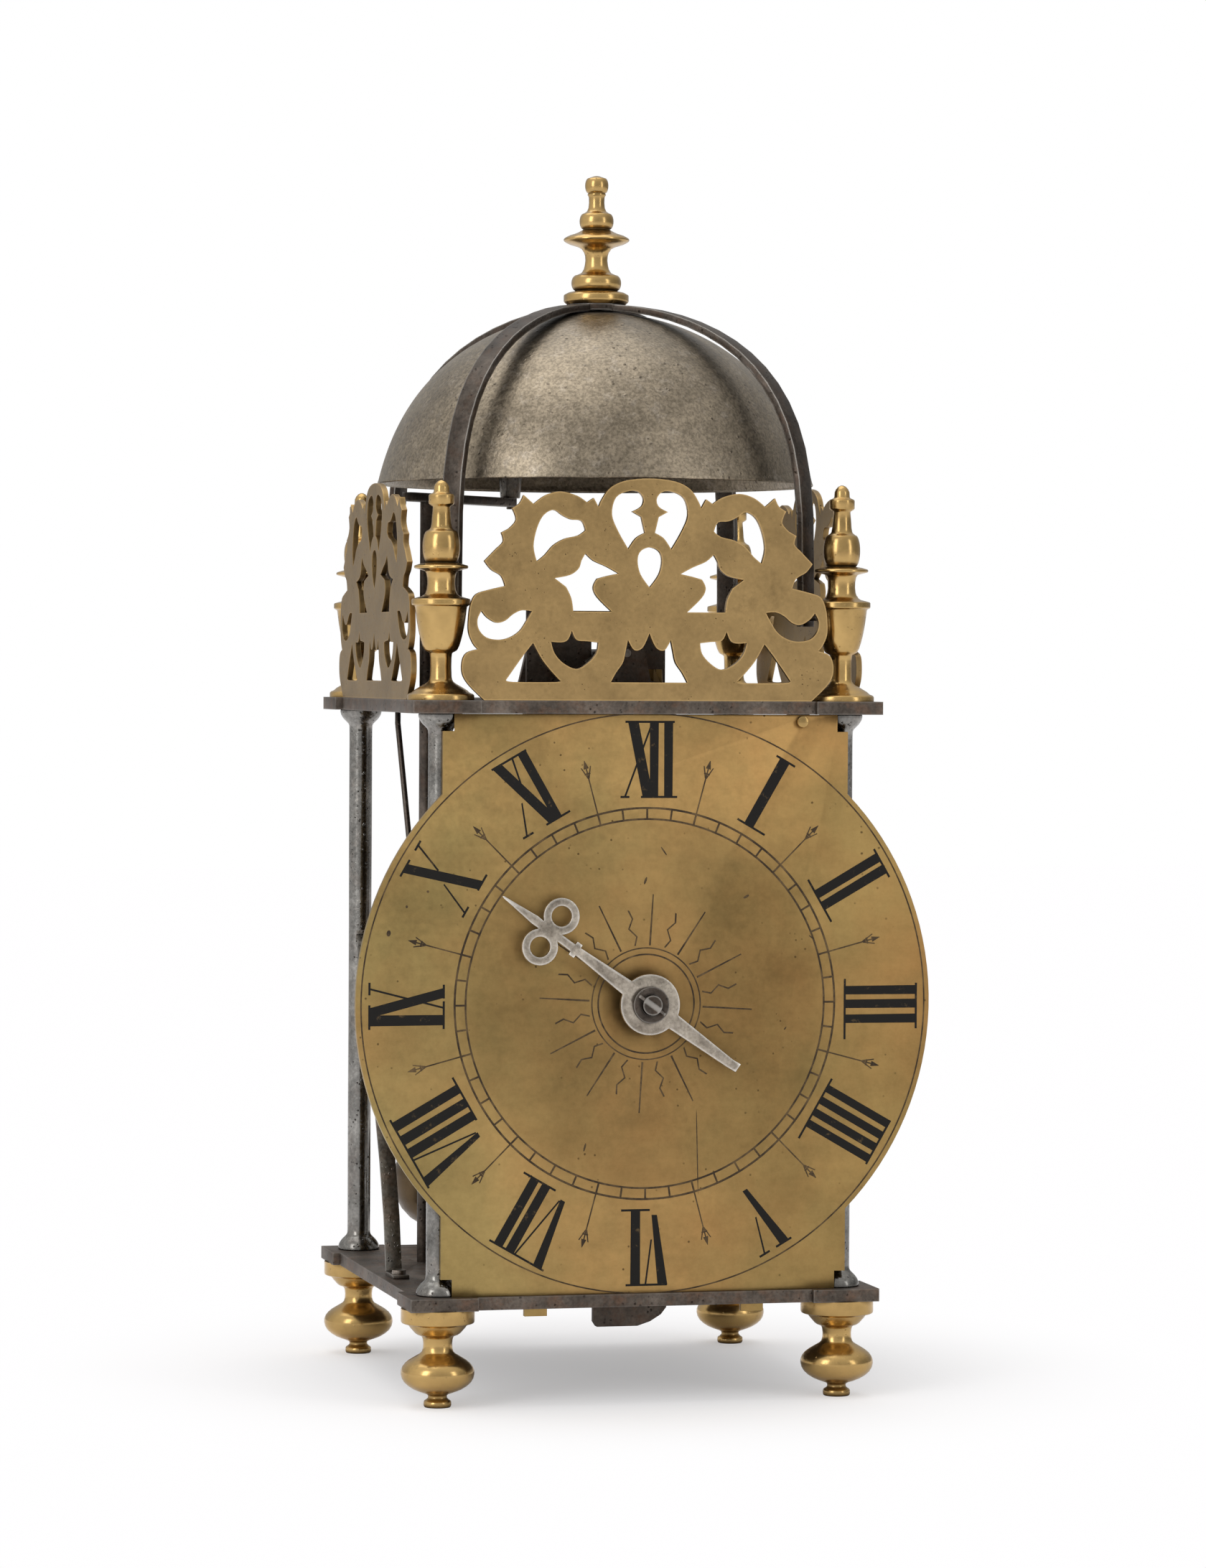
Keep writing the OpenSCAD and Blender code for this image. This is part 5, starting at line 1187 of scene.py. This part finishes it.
# Scratches and nicks on the dial as (across, up, length, width, turned clockwise), in millimetres
NICKS = [
    (16.35, -45.6, 26.5, 0.35, -1.5),
    (-0.4, 37.5, 2.4, 0.7, 20),
    (5.3, 46.5, 3.2, 0.5, -35),
    (31.4, 32.5, 2.0, 0.8, 60),
    (-19, -43.5, 2.6, 0.6, 15),
    (-80, 22, 1.9, 1.3, 10),
    (-74.5, 30, 0.9, 0.7, 0),
    (-68, 34.5, 0.8, 0.8, 0),
    (52, 20, 1.5, 0.4, -50),
    (44, -8, 1.2, 0.4, 40),
    (-36, -52, 1.4, 0.5, 70),
]


class CLOCK_OT_dial_wear(bpy.types.Operator):
    """Add the long scratch and the small nicks of the dial"""

    bl_idname = "clock.dial_wear"
    bl_label = "Dial Wear"

    def execute(self, context):
        nicks = []
        for across, up, length, width, turn in NICKS:
            deselect()
            bpy.ops.mesh.primitive_circle_add(
                vertices=14,
                radius=0.5,
                fill_type="NGON",
                location=(across * MM, DIAL_FACE_Y + SINK / 2, DIAL_Z + up * MM),
                rotation=(math.pi / 2, math.radians(turn), 0),
            )
            nick = bpy.context.object
            nick.scale = (width * MM, length * MM, 1)
            bpy.ops.object.transform_apply(location=True, rotation=True, scale=True)
            modify(nick, "SOLIDIFY", thickness=LINE_HEIGHT * MM, offset=1)
            nicks.append(nick)
        choose(nicks[0])
        for nick in nicks:
            nick.select_set(True)
        bpy.ops.object.join()
        place_piece(nicks[0], "dial_nicks", None, look="engraved")
        return {"FINISHED"}


# Towards the hand's tip, where along the hand its front part starts, and how far that part moves in
HAND_TIP = Vector((math.cos(math.radians(144.2)), 0, math.sin(math.radians(144.2))))
ARM_CUT = 22 * MM
HAND_PULL = 4.6 * MM


# The arbor's end changes from brass to iron this far before the dial's face
ARBOR_SPLIT = 1 * MM


def cut_across(obj, y, keep_front):
    """Cuts a piece across at a depth, keeps one side of it and closes the cut."""
    edit(obj)
    bpy.ops.mesh.select_all(action="SELECT")
    bpy.ops.mesh.bisect(
        plane_co=(0, y, 0),
        plane_no=(0, 1, 0),
        use_fill=True,
        clear_outer=keep_front,
        clear_inner=not keep_front,
    )
    deselect()
    return obj


class CLOCK_OT_hour_hand(bpy.types.Operator):
    """File the edges of the hour hand, make the collet before its boss and finish the arbor's end"""

    bl_idname = "clock.hour_hand"
    bl_label = "Hour Hand"

    def execute(self, context):
        hand = softened("hour_hand", sizes().hand_edge, segments=3, bevel_angle=40)
        edit(hand)
        pick(hand, lambda vertex: (vertex.co - Vector((0, 0, DIAL_Z))).dot(HAND_TIP) > ARM_CUT)
        bpy.ops.transform.translate(value=-HAND_PULL * HAND_TIP)
        deselect()
        place_piece(hand, "filed_hour_hand", "hand_steel", ["hour_hand"], "hand_work")
        soften("hand_collet", "rough_hand_collet", "iron_strap", COLLET_EDGE, "hand_work")
        split = DIAL_FACE_Y - ARBOR_SPLIT
        wheel = cut_across(softened("hour_wheel", 0), split, False)
        place_piece(wheel, "brass_hour_wheel", "wheel_brass", ["hour_wheel"], "hand_work")
        end = cut_across(softened("hour_wheel", SMALL_EDGE), split, True)
        place_piece(end, "iron_arbor_end", "iron_strap", body="hand_work")
        return {"FINISHED"}


# Movement, pendulum and hammer

WORN_BARS = ("front_bar", "middle_bar", "rear_bar", "verge_bridge", "verge_front_cock", "verge_back_cock")


class CLOCK_OT_movement(bpy.types.Operator):
    """Finish the bars, wheels, arbors, cocks and levers between the plates"""

    bl_idname = "clock.movement"
    bl_label = "Movement"

    def execute(self, context):
        done = set()
        for obj in bpy.data.objects:
            done.update(obj.get("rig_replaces", []))
        for part in frame["record"]["subparts"]:
            node = NODES[part["node"]]
            if part["node"] in done:
                continue
            if not node.data.materials:
                node.data.materials.append(None)
            for slot in node.material_slots:
                slot.material = finish_for(part["material_slot"])
        for node in WORN_BARS:
            soften(node, "worn_" + node, "movement_iron", sizes().edge_wear)
        return {"FINISHED"}


class CLOCK_OT_pendulum(bpy.types.Operator):
    """Round off the pendulum's bob and the nut under it"""

    bl_idname = "clock.pendulum"
    bl_label = "Pendulum"

    def execute(self, context):
        soften("pendulum_bob", "round_bob", "pulley_brass", SMALL_EDGE, "pendulum", smooth_angle=60)
        soften("rating_nut", "rated_bob_nut", "turned_brass", FINE_EDGE, "pendulum")
        return {"FINISHED"}


class CLOCK_OT_hammer(bpy.types.Operator):
    """Round off the hammer, its head, its spring and the thin rod"""

    bl_idname = "clock.hammer"
    bl_label = "Hammer"

    def execute(self, context):
        for node, body, slot in (
            ("hammer", "hammer_arbor", "iron_strap"),
            ("hammer_head", "hammer_arbor", "arbor_steel"),
            ("hammer_spring", "frame", "arbor_steel"),
            ("hammer_stop", "frame", "iron_strap"),
        ):
            soften(node, "forged_" + node, slot, FINE_EDGE, body)
        return {"FINISHED"}


# Floor, lights and camera

# Soft lamps as (name, place, width, height, how bright the face looks next to a white of 1), and where
# they all point
LAMPS = [
    ("left_window", (-1.15, -0.90, 0.75), 0.5, 1.1, 3.1),
    ("right_window", (1.0, -1.2, 0.62), 0.30, 1.0, 2.5),
    ("overhead", (-0.15, 0.25, 1.5), 1.2, 1.2, 1.1),
]
LAMP_TARGET = (0, 0, 0.2)

# How bright the room is along each axis as (axis, on the low side, on the high side), how softly the
# sides meet, and its colour
ROOM_LEVELS = [(0, 0.88, 0.30), (1, 0.60, 0.45), (2, 0.80, 1.05)]
ROOM_BLUR = 0.12
ROOM_COLOUR = (1.0, 0.99, 0.975)

# The floor is paper near the clock and fades to a white glow between two distances from its middle
PAPER = (0.97, 0.965, 0.98)
GLOW = (1.0, 0.995, 1.0)
GLOW_START = 0.07
GLOW_END = 0.20
GLOW_LEAST = 0.36

# The camera stands where the photo was taken: place, turn in degrees, and lens in millimetres
CAMERA_PLACE = (-0.3820, -1.5875, 0.2244)
CAMERA_YAW = 13.719
CAMERA_PITCH = 1.302
CAMERA_ROLL = 0.305
CAMERA_LENS = 117.42


def soft_lamp(name, place, width, height, brightness):
    """A rectangular soft lamp that points at the clock."""
    light = bpy.data.lights.new(name, "AREA")
    light.shape = "RECTANGLE"
    light.size = width
    light.size_y = height
    light.energy = brightness * math.pi * width * height
    lamp = bpy.data.objects.new(name, light)
    bpy.context.collection.objects.link(lamp)
    lamp.location = place
    lamp.rotation_euler = (Vector(LAMP_TARGET) - Vector(place)).to_track_quat("-Z", "Y").to_euler()
    lamp.visible_camera = False


def room_light():
    """A pale room, darker to the right, that the camera sees as plain white."""
    world = bpy.data.worlds.new("pale_room")
    bpy.context.scene.world = world
    room = Graph(world)
    towards = room.add("SeparateXYZ", {0: room.add("TexCoord").outputs["Generated"]}).outputs
    sides = []
    for axis, below, above in ROOM_LEVELS:
        level = room.spread(towards[axis], -ROOM_BLUR, ROOM_BLUR, below, above, "SMOOTHSTEP")
        sides.append(room.times(room.times(towards[axis], towards[axis]), level))
    strength = room.plus(room.plus(sides[0], sides[1]), sides[2])
    light = room.add("Background", {"Color": ROOM_COLOUR, "Strength": strength})
    white = room.add("Background", {"Color": (1, 1, 1), "Strength": 1.0})
    room.show("OutputWorld", 1.0, light.outputs[0], white.outputs[0])


def floor_finish():
    """Pale paper that keeps the clock's shadow and fades to white further out."""
    material = bpy.data.materials.new("pale_floor")
    floor = Graph(material)
    paper = floor.add("BsdfDiffuse", {"Color": PAPER})
    glow = floor.add("Emission", {"Color": GLOW})
    place = floor.add("TexCoord").outputs["Object"]
    reach = floor.add("VectorMath", {0: place}, operation="LENGTH").outputs["Value"]
    fade = floor.spread(reach, GLOW_START, GLOW_END, GLOW_LEAST, curve="SMOOTHSTEP")
    floor.show("OutputMaterial", fade, paper.outputs[0], glow.outputs[0])
    return material


class CLOCK_OT_stage(bpy.types.Operator):
    """Lay the pale floor and set up the soft lights and the camera"""

    bl_idname = "clock.stage"
    bl_label = "Floor, Lights and Camera"

    def execute(self, context):
        deselect()
        bpy.ops.mesh.primitive_plane_add(size=8, location=(0, 0, 0))
        floor = bpy.context.object
        floor.name = "pale_floor"
        floor.data.materials.append(floor_finish())
        room_light()
        for lamp in LAMPS:
            soft_lamp(*lamp)

        data = bpy.data.cameras.new("photo_camera")
        data.sensor_width = 36
        data.lens = CAMERA_LENS
        data.clip_start = 0.05
        camera = bpy.data.objects.new("photo_camera", data)
        bpy.context.collection.objects.link(camera)
        yaw, pitch, roll = (math.radians(turn) for turn in (CAMERA_YAW, CAMERA_PITCH, CAMERA_ROLL))
        forward = Vector((math.sin(yaw) * math.cos(pitch), math.cos(yaw) * math.cos(pitch), -math.sin(pitch)))
        right = Vector((math.cos(yaw), -math.sin(yaw), 0))
        up = right.cross(forward)
        tilted_right = right * math.cos(roll) + up * math.sin(roll)
        tilted_up = up * math.cos(roll) - right * math.sin(roll)
        turn = Matrix((tilted_right, tilted_up, -forward)).transposed()
        camera.matrix_world = Matrix.Translation(CAMERA_PLACE) @ turn.to_4x4()
        context.scene.camera = camera
        context.scene.view_settings.view_transform = "Standard"
        return {"FINISHED"}


class CLOCK_PT_panel(bpy.types.Panel):
    """Lists the clock's pieces and their settings"""

    bl_idname = "CLOCK_PT_panel"
    bl_label = "Lantern Clock"
    bl_space_type = "VIEW_3D"
    bl_region_type = "UI"
    bl_category = "Clock"

    def draw(self, context):
        for group in (context.scene.clock_sizes, context.scene.clock_colours):
            column = self.layout.column(align=True)
            for key in group.__annotations__:
                column.prop(group, key)
        column = self.layout.column(align=True)
        for operator in OPERATORS:
            column.operator(operator.bl_idname)


OPERATORS = (
    CLOCK_OT_iron_plates,
    CLOCK_OT_pillars,
    CLOCK_OT_feet,
    CLOCK_OT_corner_finials,
    CLOCK_OT_top_finial,
    CLOCK_OT_bell,
    CLOCK_OT_bell_strap,
    CLOCK_OT_frets,
    CLOCK_OT_dial,
    CLOCK_OT_numerals,
    CLOCK_OT_dial_lines,
    CLOCK_OT_dial_wear,
    CLOCK_OT_hour_hand,
    CLOCK_OT_pendulum,
    CLOCK_OT_hammer,
    CLOCK_OT_movement,
    CLOCK_OT_stage,
)
CLASSES = (ClockSizes, ClockColours, *OPERATORS, CLOCK_PT_panel)


def register():
    for item in CLASSES:
        bpy.utils.register_class(item)
    bpy.types.Scene.clock_sizes = bpy.props.PointerProperty(type=ClockSizes)
    bpy.types.Scene.clock_colours = bpy.props.PointerProperty(type=ClockColours)


def unregister():
    del bpy.types.Scene.clock_colours
    del bpy.types.Scene.clock_sizes
    for item in reversed(CLASSES):
        bpy.utils.unregister_class(item)


def main():
    register()
    bpy.ops.clock.iron_plates()
    bpy.ops.clock.pillars()
    bpy.ops.clock.feet()
    bpy.ops.clock.corner_finials()
    bpy.ops.clock.top_finial()
    bpy.ops.clock.bell()
    bpy.ops.clock.bell_strap()
    bpy.ops.clock.frets()
    bpy.ops.clock.dial()
    bpy.ops.clock.numerals()
    bpy.ops.clock.dial_lines()
    bpy.ops.clock.dial_wear()
    bpy.ops.clock.hour_hand()
    bpy.ops.clock.pendulum()
    bpy.ops.clock.hammer()
    bpy.ops.clock.movement()
    bpy.ops.clock.stage()
    deselect()


if __name__ == "__main__":
    main()
